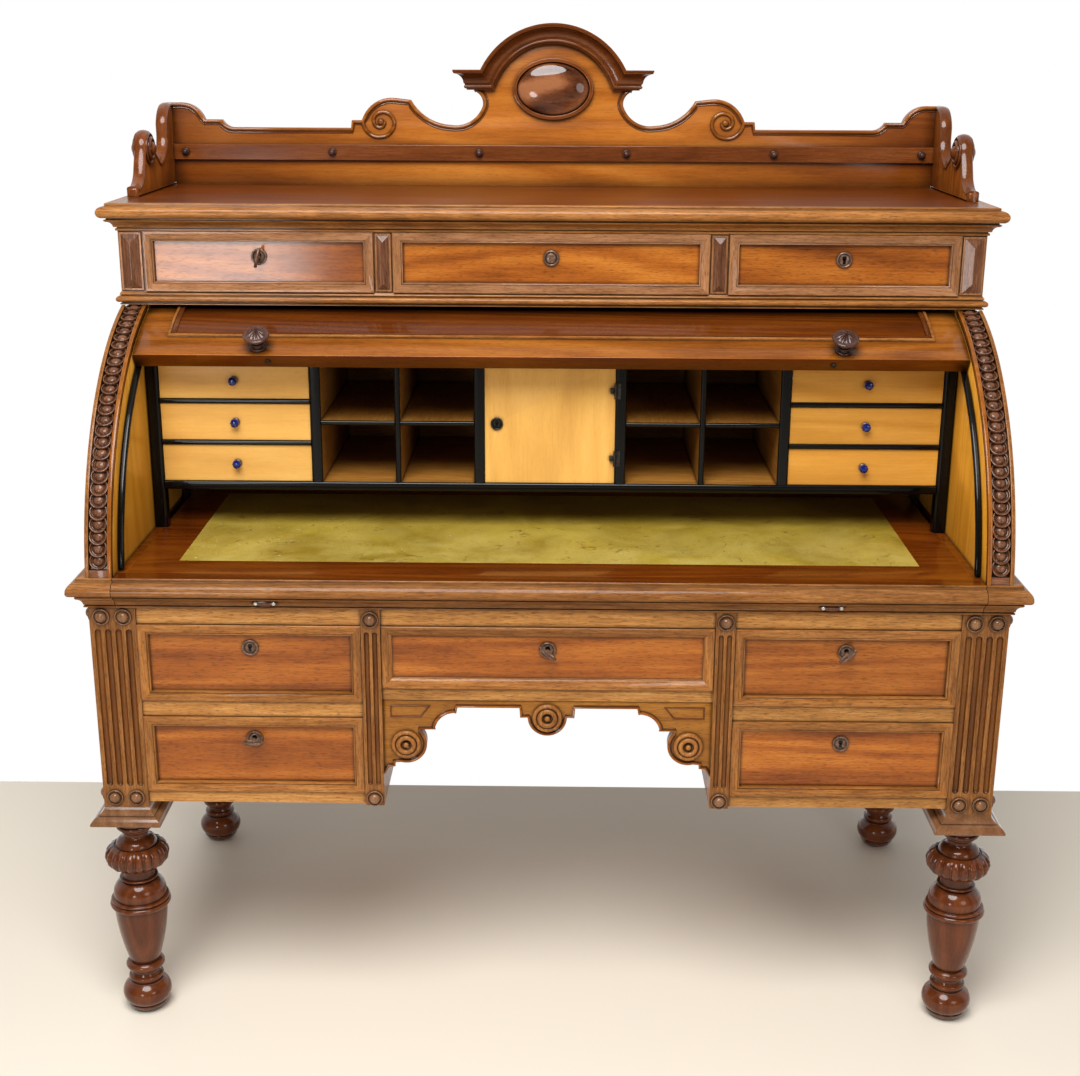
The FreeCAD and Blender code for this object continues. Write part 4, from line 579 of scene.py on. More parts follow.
coin_wood = wood(
    "walnut_coin", (0.045, 0.015, 0.006), (0.135, 0.052, 0.024), (0.260, 0.118, 0.062), 0.40, 0.42, 0.32,
)
smoked = wood(
    "walnut_smoked", (0.016, 0.006, 0.004), (0.055, 0.022, 0.015), (0.120, 0.056, 0.038), 0.40, 0.20, 0.38,
    lines=0.5,
)
# The gallery board: its corner darkening reaches 32 mm, painted shade near the top board, peg rail and
# brackets, and it darkens towards both ends, more painted shade.
honey = wood(
    "walnut_honey", (0.175, 0.044, 0.004), (0.375, 0.111, 0.011), (0.520, 0.195, 0.028), 0.85, 0.18, 0.30,
    12.0, lines=0.42, shade_and_grime=0.7, reach=32.0, ends=(0.20, 0.72, (0.40, 0.30, 0.22, 1)),
)
apron_wood = wood(
    "walnut_apron", (0.140, 0.044, 0.005), (0.300, 0.110, 0.013), (0.420, 0.178, 0.030), 0.60, 0.35, 0.24,
    9.0, lines=0.7,
)
# Its corner darkening reaches 26 mm: painted shade wherever it meets other parts, as where the lid runs under
# the case.
lid_wood = wood(
    "walnut_lid", (0.090, 0.021, 0.002), (0.225, 0.066, 0.007), (0.350, 0.125, 0.018), 0.90, 0.30, 0.34,
    12.0, shade_and_grime=0.92, lines=0.45, reach=26.0,
)
# A darker copy of the lid walnut, with corner darkening reaching 34 mm: painted shade where the case
# overhangs the lid.
shaded_lid_field = wood(
    "walnut_lid_shaded_field", (0.037, 0.006, 0.001), (0.098, 0.020, 0.001), (0.162, 0.043, 0.002), 0.90, 0.28,
    0.26, 12.0, shade_and_grime=0.96, lines=0.42, reach=34.0,
)
maple = wood(
    "maple", (0.540, 0.262, 0.056), (0.720, 0.380, 0.085), (0.840, 0.480, 0.125), 0.85, 0.08, 0.26, 12.0,
    16.0, 0.6, 0.36,
)
# A darker copy of maple for the right-hand small drawers: painted shade.
maple_shaded_right = wood(
    "maple_shaded_right", (0.390, 0.160, 0.018), (0.530, 0.236, 0.032), (0.680, 0.340, 0.062), 0.85, 0.08, 0.28,
    12.0, 16.0, 0.6, 0.36,
)
maple_side = wood(
    "maple_side", (0.420, 0.165, 0.010), (0.570, 0.250, 0.022), (0.690, 0.345, 0.045), 0.85, 0.08, 0.28,
    12.0, 16.0, 0.6, 0.36,
)
# A darker copy of maple for the pigeonhole case: painted shade inside the pigeonholes.
shaded_nook_wood = wood(
    "maple_shaded_inside", (0.150, 0.055, 0.008), (0.290, 0.122, 0.021), (0.400, 0.190, 0.038), 0.50, 0.22, 0.12,
    8.0, 16.0, 0.8,
)
black = wood(
    "ebonised", (0.0004, 0.0004, 0.0004), (0.0008, 0.0008, 0.0008), (0.0014, 0.0014, 0.0014), 0.30, 0.05,
    0.34, sheen=0.05,
)
pine = wood(
    "pine", (0.230, 0.100, 0.032), (0.420, 0.215, 0.078), (0.550, 0.315, 0.125), 0.80, 0.20, 0.06, 8.0,
    22.0, 0.6,
)
print("woods:", [m.name for m in bpy.data.materials])

# %% [markdown]
# ## Metal and glass
# Locks, keys and hinges are cast and darkened. They shine only where hands rub them, so the roughness and
# colour change with a fine noise, and dirt stays in the corners. The small drawer knobs are blue cut glass.

# %% Metal and glass materials
METAL_SCALE, METAL_CORNER = 240.0, 0.004
METAL_BUMP, METAL_BUMP_DEPTH = 0.25, 0.0002
GLASS_SCALE = 160.0


def metal(name, deep, bare, roughness, share):
    """A darkened metal that is bare and smooth where it is rubbed. The share is how metallic it looks."""
    finish = Finish(name, deep, roughness)
    noise = finish.noise(finish.place(), METAL_SCALE, 4.0)
    corner = finish.node("AmbientOcclusion", {"Distance": METAL_CORNER}).outputs["AO"]
    rubbed = finish.number("MULTIPLY", noise, corner)
    finish.give({
        "Base Color": finish.ramp(rubbed, (0.25, deep), (0.72, bare)),
        "Roughness": finish.ranged(noise, 0.0, 1.0, roughness + 0.14, roughness - 0.10),
        "Metallic": share,
        "Normal": finish.bump(noise, METAL_BUMP, METAL_BUMP_DEPTH),
    })
    return finish.material


bronze = metal("dark_bronze", (0.036, 0.018, 0.011), (0.230, 0.125, 0.078), 0.30, 0.4)
nickel = metal("worn_nickel", (0.300, 0.280, 0.250), (0.860, 0.840, 0.800), 0.24, 0.7)
iron = metal("dark_iron", (0.010, 0.009, 0.008), (0.070, 0.062, 0.055), 0.42, 0.85)

cut_glass = Finish("blue_glass", (0.010, 0.030, 0.420), 0.05)
cloudy = cut_glass.noise(cut_glass.place(), GLASS_SCALE, 2.0)
cut_glass.give({
    "Transmission Weight": 0.35,
    "IOR": 1.52,
    "Base Color": cut_glass.ramp(cloudy, (0.0, (0.0012, 0.004, 0.060)), (1.0, (0.012, 0.032, 0.280))),
})
glass = cut_glass.material
print("metals and glass:", [material.name for material in (bronze, nickel, iron, glass)])

# %% [markdown]
# ## Turning
# A lathe makes any round piece from one outline: the wood spins and the tool follows the curve. The same
# idea works here. The outline is a row of points, bent where three points name an arc, and spun about an
# axis.

# %% Lathe
def bend(start, via, stop, steps=7):
    """Points along the arc through three places, leaving out the first."""
    ax, ay, bx, by, cx, cy = *start, *via, *stop
    d = 2 * (ax * (by - cy) + bx * (cy - ay) + cx * (ay - by))
    if abs(d) < 1e-9:
        return [via, stop]
    a2, b2, c2 = ax * ax + ay * ay, bx * bx + by * by, cx * cx + cy * cy
    mx = (a2 * (by - cy) + b2 * (cy - ay) + c2 * (ay - by)) / d
    my = (a2 * (cx - bx) + b2 * (ax - cx) + c2 * (bx - ax)) / d
    radius = math.hypot(ax - mx, ay - my)
    first = math.atan2(ay - my, ax - mx)
    swing = (math.atan2(by - my, bx - mx) - first) % math.tau
    whole = (math.atan2(cy - my, cx - mx) - first) % math.tau
    if swing > whole:
        whole -= math.tau
    angles = [first + whole * n / steps for n in range(1, steps + 1)]
    return [(mx + radius * math.cos(t), my + radius * math.sin(t)) for t in angles]


def outline(*parts):
    """A row of (radius, rise) places in mm; a part of two places bends through the first to the second."""
    places = []
    for part in parts:
        if isinstance(part[0], tuple):
            places += bend(places[-1], *part)
        else:
            places.append(part)
    return places


def turned(places, steps=48, seat=Vector(), axis=Z):
    """Spins an outline about the axis, from a seat on it."""
    bm = bmesh.new()
    row = [bm.verts.new((radius * MM, 0, rise * MM)) for radius, rise in places]
    edges = [bm.edges.new(pair) for pair in zip(row, row[1:])]
    bmesh.ops.spin(
        bm,
        geom=row + edges,
        cent=(0, 0, 0),
        axis=(0, 0, 1),
        angle=math.tau,
        steps=steps,
        use_merge=True,
    )
    bmesh.ops.remove_doubles(bm, verts=bm.verts, dist=MERGE)
    bmesh.ops.recalc_face_normals(bm, faces=bm.faces)
    pose = Matrix.Translation(seat) @ Z.rotation_difference(axis).to_matrix().to_4x4()
    bmesh.ops.transform(bm, matrix=pose, verts=bm.verts)
    return bm


print("an arc of", len(bend((0, 0), (1, 1), (2, 0))), "steps")

# %% [markdown]
# ## The legs
# Each leg was turned from one block: a bun foot, a ring, a tall vase with a collar, a bell, and a ring of
# carved petals called gadroons. The turner left a plain fat ring there, and the carver then cut the petals
# into it. So the ring is spun first, and its surface is then drawn in between the petals.

# %% Legs
LEG = outline(
    (0, 0), (19, 0), (21.5, 1.5), ((29, 6.5), (33.5, 14.5)), (32.4, 16), (34.5, 17.5), ((41, 33), (29, 54)),
    (28.5, 56), (26, 57.5), (26, 59), (28.5, 60.5), ((29.2, 63.5), (28, 67)), (25, 68.5), (23.5, 72),
    (24.2, 77.5), (26, 79), ((32.5, 86.5), (26, 94)), (24, 95), (24, 96.5), (26, 98),
    ((37.5, 144), (44, 197)), (44.2, 199.6), (46.6, 201), ((50.4, 205.6), (48, 210)), (46.2, 210.8),
    ((48.4, 213.6), (45.6, 216.4)), (43.0, 217.2), ((41.0, 236), (30.0, 248.5)), (28.2, 249.2), (30.8, 251),
    ((31.8, 253), (30.0, 255)), (26.6, 255.6), (25.6, 260), (26.2, 270), (28.0, 273), (30, 274),
    ((53, 293), (38.6, 313.4)), (37.2, 313.8), (36.2, 312.6), (34.4, 313), ((31.5, 321), (23.5, 327.5)),
    ((20.6, 333), (23.0, 339.5)), (25.2, 340.2), (25.6, 342.8), (27.6, 343.4),
    ((31.4, 347.4), (30.6, 351.8)), (29.2, 352.6), (29.2, 354.6), (33.6, 356), (33.6, 371), (0, 371),
)
PETALS = 20
PETAL_STEPS = 7
PETAL_DEPTH = 7.2
PETAL_ROUND = 0.6
RING_CORE = 30.0
RING_LOW, RING_TOP = 274.5, 313.6
FADE_LOW, FADE_TOP = 3.5, 7.0


def carve_petals(bm, centre):
    """Draws the ring's surface in between the petals, and lets them fade at the ring's foot and rim."""
    for vert in bm.verts:
        arm = Vector((vert.co.x - centre.x, vert.co.y - centre.y, 0))
        rise = vert.co.z / MM
        if not RING_LOW < rise < RING_TOP or arm.length < RING_CORE * MM:
            continue
        angle = math.atan2(arm.y, arm.x)
        valley = 1 - abs(math.cos(angle * PETALS / 2)) ** PETAL_ROUND
        depth = min(1.0, (rise - RING_LOW) / FADE_LOW, (RING_TOP - rise) / FADE_TOP)
        vert.co -= arm.normalized() * PETAL_DEPTH * MM * valley * depth


legs = Piece("turned_legs_look", "turned_legs")
for bm in boards("turned_legs"):
    low, high = box_of(bm)
    seat = Vector(((low.x + high.x) / 2, (low.y + high.y) / 2, 0))
    bm.free()
    leg = turned(LEG, PETALS * PETAL_STEPS, seat)
    carve_petals(leg, seat)
    legs.add(leg, leg_wood, Z)
legs.finish("dark_walnut")

# %% [markdown]
# ## Posts, rails and sills
# The base is a frame of posts and rails. The flutes of the posts were cut with a gouge and are already in
# the solids; the joiner's last strokes, which took the sharpness off each edge, are not, and are added
# here.

# %% The frame of the base
SILL_SPREAD = 20.6
SILL = (
    (0, 0), (0, 2.0), (1.2, 5.5), (3.6, 9.0), (7.6, 12.2), (8.6, 12.8), (8.6, 14.4), (11.2, 14.8),
    (14.4, 16.8), (17.6, 20.2), (19.6, 23.4), (20.4, 24.6), (20.4, 28.0),
)
FLUTE_DEPTH = 0.8 * MM


def tiers(low, high, levels):
    """A block that widens on its way down: its top face is pushed down and spread again and again."""
    bm = bmesh.new()
    bmesh.ops.create_grid(bm, x_segments=1, y_segments=1, size=0.5)
    face = bm.faces[:][0]
    for n, (reach, drop) in enumerate(levels):
        if n:
            made = bmesh.ops.extrude_face_region(bm, geom=[face])
            face = next(part for part in made["geom"] if isinstance(part, bmesh.types.BMFace))
        middle = face.calc_center_median()
        for vert in face.verts:
            x = low.x - reach * MM if vert.co.x < middle.x else high.x + reach * MM
            y = low.y - reach * MM if vert.co.y < middle.y else high.y + reach * MM
            vert.co = Vector((x, y, high.z - drop * MM))
    bmesh.ops.recalc_face_normals(bm, faces=bm.faces)
    return bm


def sunk(bm):
    """A test for faces that lie below the surface of a board on every side, as those of a flute do."""
    low, high = box_of(bm)

    def test(face):
        middle = face.calc_center_median()
        return all(low[n] + FLUTE_DEPTH < middle[n] < high[n] - FLUTE_DEPTH for n in range(3))

    return test


sills = Piece("leg_sills_look", "leg_sills")
spread = Vector((SILL_SPREAD, SILL_SPREAD, 0)) * MM
for bm in boards("leg_sills"):
    low, high = box_of(bm)
    bm.free()
    sills.add(tiers(low + spread, high - spread, SILL), stud_wood, Y)
sills.finish("walnut")

for node, width in (("corner_posts", 0.5 * MM), ("inner_pilasters", 0.4 * MM)):
    posts = Piece(f"{node}_look", node)
    for bm in boards(node):
        inside = sunk(bm)
        flutes = split(soften(bm, width), inside)
        posts.add(bm, walnut, Z)
        # The flutes take the redder lid walnut, whose far-reaching corner darkening paints shade inside them.
        if flutes.faces:
            posts.add(flutes, lid_wood, Z)
    posts.finish("walnut")

softened("front_rails", "honey_walnut", tan)
softened("side_panels", "walnut", walnut, Y)
softened("pedestal_walls", "pine", walnut, Y)
softened("back_panels", "pine", pine, X)
softened("dust_boards", "pine", pine, X)
softened("drawer_guides", "pine", pine)
softened("slide_runners", "pine", pine)
softened("pivot_pins", "iron", iron, X, 0.4 * MM)

# %% [markdown]
# ## Studs, rosettes and pegs
# These small buttons were turned by the dozen and glued on. A stud is a ring round a half ball; a rosette
# has two rings, a hollow and a ball; a peg is a dome on a rim. Each sits on the middle of its plain solid
# and faces out along that solid's thin side.

# %% Small turnings
STUD = outline(
    (13.4, 0), (13.4, 2.6), ((12.8, 4.0), (11.2, 3.6)), (10.0, 2.2), (9.0, 2.2), ((6.8, 7.8), (0, 9.9)),
)
ROSETTE = outline(
    (23.9, 0), (23.9, 3.0), ((20.8, 7.0), (17.2, 5.0)), (16.6, 3.8), ((13.2, 9.0), (9.2, 7.4)), (8.0, 2.4),
    (5.2, 1.6), (4.6, 2.6), ((4.2, 7.4), (0, 9.4)),
)
PEG = outline((7.4, 0), (7.4, 2.0), ((6.4, 3.4), (5.2, 3.6)), (4.6, 4.6), (5.0, 6.6), ((3.9, 9.6), (0, 10.9)))


def facing(bm):
    """The middle of a button's back, and the way it faces: out along its thin side."""
    low, high = box_of(bm)
    sides = high - low
    thin = min(range(3), key=lambda axis: sides[axis])
    middle = (low + high) / 2
    if thin == 1:
        return Vector((middle.x, high.y, middle.z)), -Y
    if middle.x > 0:
        return Vector((low.x, middle.y, middle.z)), X
    return Vector((high.x, middle.y, middle.z)), -X


for node, shape, steps, material in (
    ("turned_studs", STUD, 32, stud_wood),
    ("apron_rosettes", ROSETTE, 48, stick),
    ("gallery_pegs", PEG, 32, smoked),
):
    piece = Piece(f"{node}_look", node)
    for bm in boards(node):
        seat, out = facing(bm)
        bm.free()
        piece.add(turned(shape, steps, seat, out), material, Z)
    piece.finish("dark_walnut")

# %% [markdown]
# ## Beads
# A bead is a thin round moulding, planed as a stick or carved along an edge. A row of places bent into a
# soft line and given a round section makes one. It is a curve first and is then turned into a mesh.

# %% Bead along a line
def bead(places, radius, ring=6, closed=False):
    """A round stick of the given radius in metres along a row of places."""
    line = bpy.data.curves.new("bead", "CURVE")
    line.dimensions = "3D"
    line.bevel_depth = radius
    line.bevel_resolution = ring // 2
    line.use_fill_caps = not closed
    run = line.splines.new("POLY")
    run.points.add(len(places) - 1)
    for point, place in zip(run.points, places):
        point.co = (*place, 1)
    run.use_cyclic_u = closed
    holder = bpy.data.objects.new("bead", line)
    bm = bmesh.new()
    mesh = bpy.data.meshes.new_from_object(holder)
    bm.from_mesh(mesh)
    bpy.data.meshes.remove(mesh)
    bpy.data.objects.remove(holder)
    bpy.data.curves.remove(line)
    bmesh.ops.remove_doubles(bm, verts=bm.verts, dist=MERGE)
    return bm


def edge_rows(bm, keep):
    """The edges that pass a test, chained into rows of places."""
    edges = [edge for edge in bm.edges if keep(edge)]
    links = {}
    for edge in edges:
        for vert in edge.verts:
            links.setdefault(vert, []).append(edge)
    rows = []
    left = set(edges)
    ends = [vert for vert, joined in links.items() if len(joined) == 1]
    for end in ends:
        if not any(edge in left for edge in links[end]):
            continue
        row = [end]
        while True:
            onward = [edge for edge in links[row[-1]] if edge in left]
            if not onward:
                break
            left.discard(onward[0])
            row.append(onward[0].other_vert(row[-1]))
        rows.append([vert.co.copy() for vert in row])
    return rows


# A side of a board: its axis, and 0 for the low end or 1 for the high end
ON_LEFT, ON_RIGHT, ON_FRONT, ON_BACK, ON_FOOT, ON_TOP = ((axis, end) for axis in range(3) for end in range(2))


def edges_round(bm, side, *plain):
    """A test for the edges round one side of a board, apart from those that lie along its plain sides."""
    ends = box_of(bm)

    def lies_on(edge, side):
        axis, end = side
        return all(abs(vert.co[axis] - ends[end][axis]) < MERGE for vert in edge.verts)

    return lambda edge: lies_on(edge, side) and not any(lies_on(edge, other) for other in plain)


def moved_aside(row, inset, normal):
    """The same row moved sideways, square to its own run and to the given normal."""
    moved = []
    for n, place in enumerate(row):
        ahead = row[min(n + 1, len(row) - 1)] - row[max(n - 1, 0)]
        moved.append(place + normal.cross(ahead).normalized() * inset)
    return moved


print("a ring bead has", len(bead([X, Y, Z], 0.1, closed=True).faces), "faces")

# %% [markdown]
# ## Mouldings
# A long moulding is planed from a stick, with one section all along. Where it turns a corner, two sticks
# are cut at 45 degrees. So a section is one face, pushed along its run; at a mitre, each point of the end
# goes on as far as it stands proud.

# %% Mouldings from a section
EDGE = outline(
    (0, 0), (4.0, 0), ((5.6, 1.7), (4.0, 3.4)), (2.2, 3.6), (2.2, 5.0), (5.6, 5.0),
    ((8.0, 11.6), (13.4, 15.8)), ((15.4, 17.4), (16.0, 19.6)), (12.6, 20.0), (12.6, 22.8), (20.6, 22.8),
    ((25.4, 25.2), (26.6, 30.6)), ((23.6, 39.6), (15.6, 44.8)), (13.2, 43.8), (12.4, 45.6), (12.8, 48.6),
    ((12.2, 50.6), (10.0, 51)), (0, 51),
)
CORNICE = outline(
    (0, 0), (3, 0), (3, 3.6), (0.6, 4.0), (0.6, 6.0), (5.4, 6.0), ((7.8, 12.0), (13.0, 15.2)),
    ((17.0, 16.8), (18.2, 18.6)), (14.2, 19.0), (14.2, 22.0), (21.2, 22.0), ((27.9, 30.6), (18.0, 40.6)),
    (15.4, 39.6), (14.6, 41.4), (15.2, 44.2), ((14.6, 45.7), (12.6, 46)), (0, 46),
)
COLLAR = outline(
    (0, 0), (3, 0), (3, 2.2), (0.6, 2.6), (0.6, 4.2), (4.2, 4.4), ((8.9, 9.4), (4.2, 14.4)), (0.6, 14.8),
    (0.6, 16.4), (3, 16.6), (3, 18.4), ((1.6, 20.4), (0.6, 22)), (0, 22),
)


def deeper(section, back):
    """The same section with its plain back moved further in."""
    return [(-back, section[0][1])] + section[1:-1] + [(-back, section[-1][1])]


def moulding(section, foot, way, out, length, mitres=(0, 0)):
    """A stick of a section in mm, (reach, rise), from a foot along a way and proud of it towards out."""
    bm = bmesh.new()
    near = [bm.verts.new(foot + out * reach * MM + Z * rise * MM) for reach, rise in section]
    made = bmesh.ops.extrude_face_region(bm, geom=[bm.faces.new(near)])
    far = [part for part in made["geom"] if isinstance(part, bmesh.types.BMVert)]
    for vert in near:
        vert.co -= way * mitres[0] * (vert.co - foot).dot(out)
    for vert in far:
        vert.co += way * (length + mitres[1] * (vert.co - foot).dot(out))
    bmesh.ops.recalc_face_normals(bm, faces=bm.faces)
    return soften(bm, 0.35 * MM, 1)


print("sections of", len(EDGE), len(CORNICE), len(COLLAR), "points")

# %% [markdown]
# ## The apron
# A sawn board closes the top of the kneehole. Its curved lower edge has a thin lip, and two fields with a
# slanted end are cut into its corners. The lip follows the front edge of the sawn outline exactly, so it is
# laid along those very edges. The lip is in the darker lid walnut, painted shade of the edge's chamfer; a
# thin dark bead further in, and thin dark beads round the fields, are painted shade of grooves.

# %% Apron
LIP, CUT_SHADE = 2.6 * MM, 0.8 * MM
LIP_INSET, CUT_SHADE_INSET = 2.0 * MM, 5.4 * MM
FIELD_SHADE_LINE = 1.5 * MM
FIELD = ((0.2520, 0.5610), (0.2040, 0.5610), (0.1890, 0.5800), (0.2520, 0.5800))

apron = Piece("kneehole_apron_look", "kneehole_apron")
for bm in boards("kneehole_apron"):
    front = box_of(bm)[0].y
    for row in edge_rows(bm, edges_round(bm, ON_FRONT, ON_TOP, ON_LEFT, ON_RIGHT)):
        row = row if row[0].x < row[-1].x else row[::-1]
        # The lip in darker walnut and a thin dark bead inside it: painted shade of the chamfer and of a
        # groove.
        apron.add(bead(moved_aside(row, -LIP_INSET, Y), LIP), lid_wood, X)
        apron.add(bead(moved_aside(row, -CUT_SHADE_INSET, Y), CUT_SHADE), dark, X)
    apron.add(soften(bm, 0.5 * MM), apron_wood, X)
    # Thin dark beads round the fields: painted shade of their grooves.
    for side in (-1, 1):
        ring = [Vector((side * x, front, z)) for x, z in FIELD]
        apron.add(bead(ring, FIELD_SHADE_LINE, closed=True), dark, X)
apron.finish("walnut")

# %% [markdown]
# ## Drawer fronts
# A drawer front here is a panel in a mitred frame. On the bench four moulded sticks were cut at 45 degrees
# and glued round the panel. Insetting the front face step by step draws the same moulding and leaves the
# mitres at the corners. Faces near the left and right edges then get upright grain, and the others get
# level grain.

# %% Drawers
FRAME_STEPS = (
    (0.8, 0.5), (12.4, 0.0), (0.4, -1.6), (0.6, 0.9), (1.1, 0.3), (0.9, -0.8), (0.4, -2.4), (0.3, -4.6),
)
SPLAY_STEPS = ((0.8, 0.5), (3.2, 0.0), (0.5, -0.8), (10.8, -3.6), (0.5, -1.2), (0.8, 0.2), (0.4, -3.1))
PLATE = outline((0, 2.2), (8.4, 2.0), (9.4, 1.4), (9.9, 1.6), ((11.8, 3.9), (13.4, 1.6)), (13.4, 0))
COVER = outline(
    (0, 3.4), ((5.0, 3.2), (8.2, 2.4)), (8.8, 1.4), (9.9, 1.4), ((11.8, 3.9), (13.4, 1.6)), (13.4, 0),
)
HOLE_RISE, HOLE_THICK = 2.3 * MM, 0.2 * MM
EYE_RADIUS, EYE_RISE = 3.8 * MM, 2.6 * MM
SLOT_HALF, SLOT_HALF_TALL, SLOT_DROP = 2.3 * MM, 4.0 * MM, 2.8 * MM
DRAWERS = (
    "upper_left", "upper_right", "lower_left", "lower_right", "centre", "frieze_left", "frieze_centre",
    "frieze_right",
)
SPLAYED, COVERED = "centre", "frieze_centre"


def framed_front(low, high, steps):
    """The frame of a drawer front as one mesh, and its panel as another."""
    bm = bmesh.new()
    bmesh.ops.create_cube(bm, size=1.0)
    for vert in bm.verts:
        vert.co = Vector([low[n] if vert.co[n] < 0 else high[n] for n in range(3)])
    front = min(bm.faces, key=lambda face: face.calc_center_median().y)
    inset_steps(bm, [front], steps)
    bm.faces.index_update()
    number = front.index
    field = split(bm, lambda face: face.index == number)
    return bm, field


def mitred_grain(low, high):
    """Upright grain near the left and right edges, level grain near the top and the foot."""
    shifts = [thrown() for n in range(4)]

    def rule(face, number):
        middle = face.calc_center_median()
        gaps = (middle.x - low.x, high.x - middle.x, middle.z - low.z, high.z - middle.z)
        nearest = min(range(4), key=lambda n: gaps[n])
        return (Z if nearest < 2 else X), shifts[nearest]

    return rule


def keyhole_shade_sheet(seat):
    """A thin black sheet in the shape of a lock's hole, a round eye and a slot below it: painted shade for
    the hole.
    """
    eye = bmesh.new()
    bmesh.ops.create_circle(eye, cap_ends=True, segments=20, radius=EYE_RADIUS)
    bmesh.ops.translate(eye, vec=Y * EYE_RISE, verts=eye.verts)
    slot = bmesh.new()
    bmesh.ops.create_grid(slot, x_segments=1, y_segments=1, size=1.0)
    bmesh.ops.scale(slot, vec=(SLOT_HALF, SLOT_HALF_TALL, 1), verts=slot.verts)
    bmesh.ops.translate(slot, vec=-Y * SLOT_DROP, verts=slot.verts)
    pose = Matrix.Translation(seat) @ Matrix.Rotation(math.pi / 2, 4, "X")
    for bm in (eye, slot):
        bmesh.ops.transform(bm, matrix=pose, verts=bm.verts)
        bmesh.ops.solidify(bm, geom=bm.faces[:], thickness=HOLE_THICK)
        bmesh.ops.recalc_face_normals(bm, faces=bm.faces)
    return eye, slot


for place in DRAWERS:
    drawer = f"{place}_drawer"
    piece = Piece(f"{drawer}_look", drawer)
    front, lock_case, plate, *box = boards(drawer)
    low, high = box_of(front)
    front.free()
    frame_mesh, field = framed_front(low, high, SPLAY_STEPS if place == SPLAYED else FRAME_STEPS)
    upper = place.startswith("frieze")
    piece.add(frame_mesh, pale if upper else stick, mitred_grain(low, high))
    piece.add(field, frieze if upper else panel, X)
    seat, out = facing(plate)
    plate.free()
    piece.add(turned(COVER if place == COVERED else PLATE, 40, seat, out), bronze, Z)
    # A black sheet on the plate paints the shade in the keyhole.
    if place != COVERED:
        for hole in keyhole_shade_sheet(seat + out * HOLE_RISE):
            piece.add(hole, black, Z)
    piece.add(soften(lock_case), iron, X)
    for bm in box:
        piece.add(soften(bm), pine)
    piece.finish("walnut")

# %% [markdown]
# ## Keys
# A key is a shank with a ring to turn it by. The smith forged the ring flat and filed small collars on the
# shank. The shank is turned, and the ring is a bead bent round, with a small ball at each side. Each key
# was left turned by another amount, as the photograph shows them.

# %% Keys
BOW_LONG, BOW_WIDE, BOW_WIRE = 7.0 * MM, 14.4 * MM, 2.2 * MM
BOW_STEPS, BOW_BALL = 32, 3.0 * MM
KEY_TURN = {"lower_left_drawer": 0, "centre_drawer": -38, "upper_right_drawer": 40, "frieze_left_drawer": 75}
KEY = outline(
    (0, 0), (2.1, 0), (2.1, 30), (3.4, 30.4), ((3.9, 31.6), (3.4, 32.8)), (2.4, 33.2),
    ((2.2, 33.6), (2.0, 34)), (0, 34),
)
for drawer, turn in KEY_TURN.items():
    node = f"{drawer}_key"
    low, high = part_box(node)
    middle = (low + high) / 2
    piece = Piece(f"{node}_look", node)
    piece.add(turned(KEY, 24, Vector((middle.x, high.y, middle.z)), -Y), bronze, Y)
    centre = Vector((middle.x, low.y + BOW_LONG + BOW_WIRE, middle.z))
    across = Vector((math.cos(math.radians(turn)), 0, math.sin(math.radians(turn))))
    ring = []
    for n in range(BOW_STEPS):
        angle = math.tau * n / BOW_STEPS
        ring.append(centre + Y * BOW_LONG * math.cos(angle) + across * BOW_WIDE * math.sin(angle))
    piece.add(bead(ring, BOW_WIRE, closed=True), bronze, Y)
    for side in (-1, 1):
        tip = bmesh.new()
        bmesh.ops.create_uvsphere(tip, u_segments=16, v_segments=10, radius=BOW_BALL)
        bmesh.ops.translate(tip, verts=tip.verts, vec=centre + across * side * BOW_WIDE)
        piece.add(tip, bronze, Y)
    piece.finish("bronze")

# %% [markdown]
# ## The desk top and the writing slide
# The edge moulding was run with planes as one long stick. Behind it lies the slide, a polished board with a
# sunk panel of leather. The front moulding belongs to the slide, so a joint line shows near both corners.
# Two small pulls sit under its nose, each a thin bar between two studs on a dark oval that paints the shade
# of the hollow they are let into.

# %% Desk top
FOOT_X, FOOT_Y, FOOT_Z = 0.7262, -0.3467, 0.746
LIPPING_WIDEST = 60 * MM
SLIDE_HALF = 0.681
SLIDE_BACK = 18.2
SLIDE_TOP = FOOT_Z + 50.5 * MM
PULL_X, PULL_REACH, PULL_RISE = 0.444, 11.0 * MM, 12.0 * MM
PULL_HALF, PULL_SPAN = 21.0 * MM, 14.0 * MM
PULL_SINK, PULL_TALL = 2.4 * MM, 6.0 * MM
PULL_WIRE, STUD_SINK = 1.5 * MM, 1.6 * MM
PULL_STUD = outline((0, 0), (3.6, 0), (3.6, 1.2), ((2.6, 3.4), (0, 4.2)))

top_sides = Piece("desk_top_sides_look", "desk_top_sides")
for bm in boards("desk_top_sides"):
    low, high = box_of(bm)
    if high.x - low.x < LIPPING_WIDEST:
        top_sides.add(soften(bm), walnut, Y)
        continue
    bm.free()
    side = 1 if low.x > 0 else -1
    start = min(abs(low.x), abs(high.x))
    corner = Vector((side * FOOT_X, FOOT_Y, FOOT_Z))
    front = moulding(EDGE, Vector((side * start, FOOT_Y, FOOT_Z)), X * side, -Y, FOOT_X - start, (0, 1))
    flank = moulding(EDGE, corner, Y, X * side, high.y - FOOT_Y, (1, 0))
    top_sides.add(front, walnut, X)
    top_sides.add(flank, walnut, Y)
top_sides.finish("walnut")

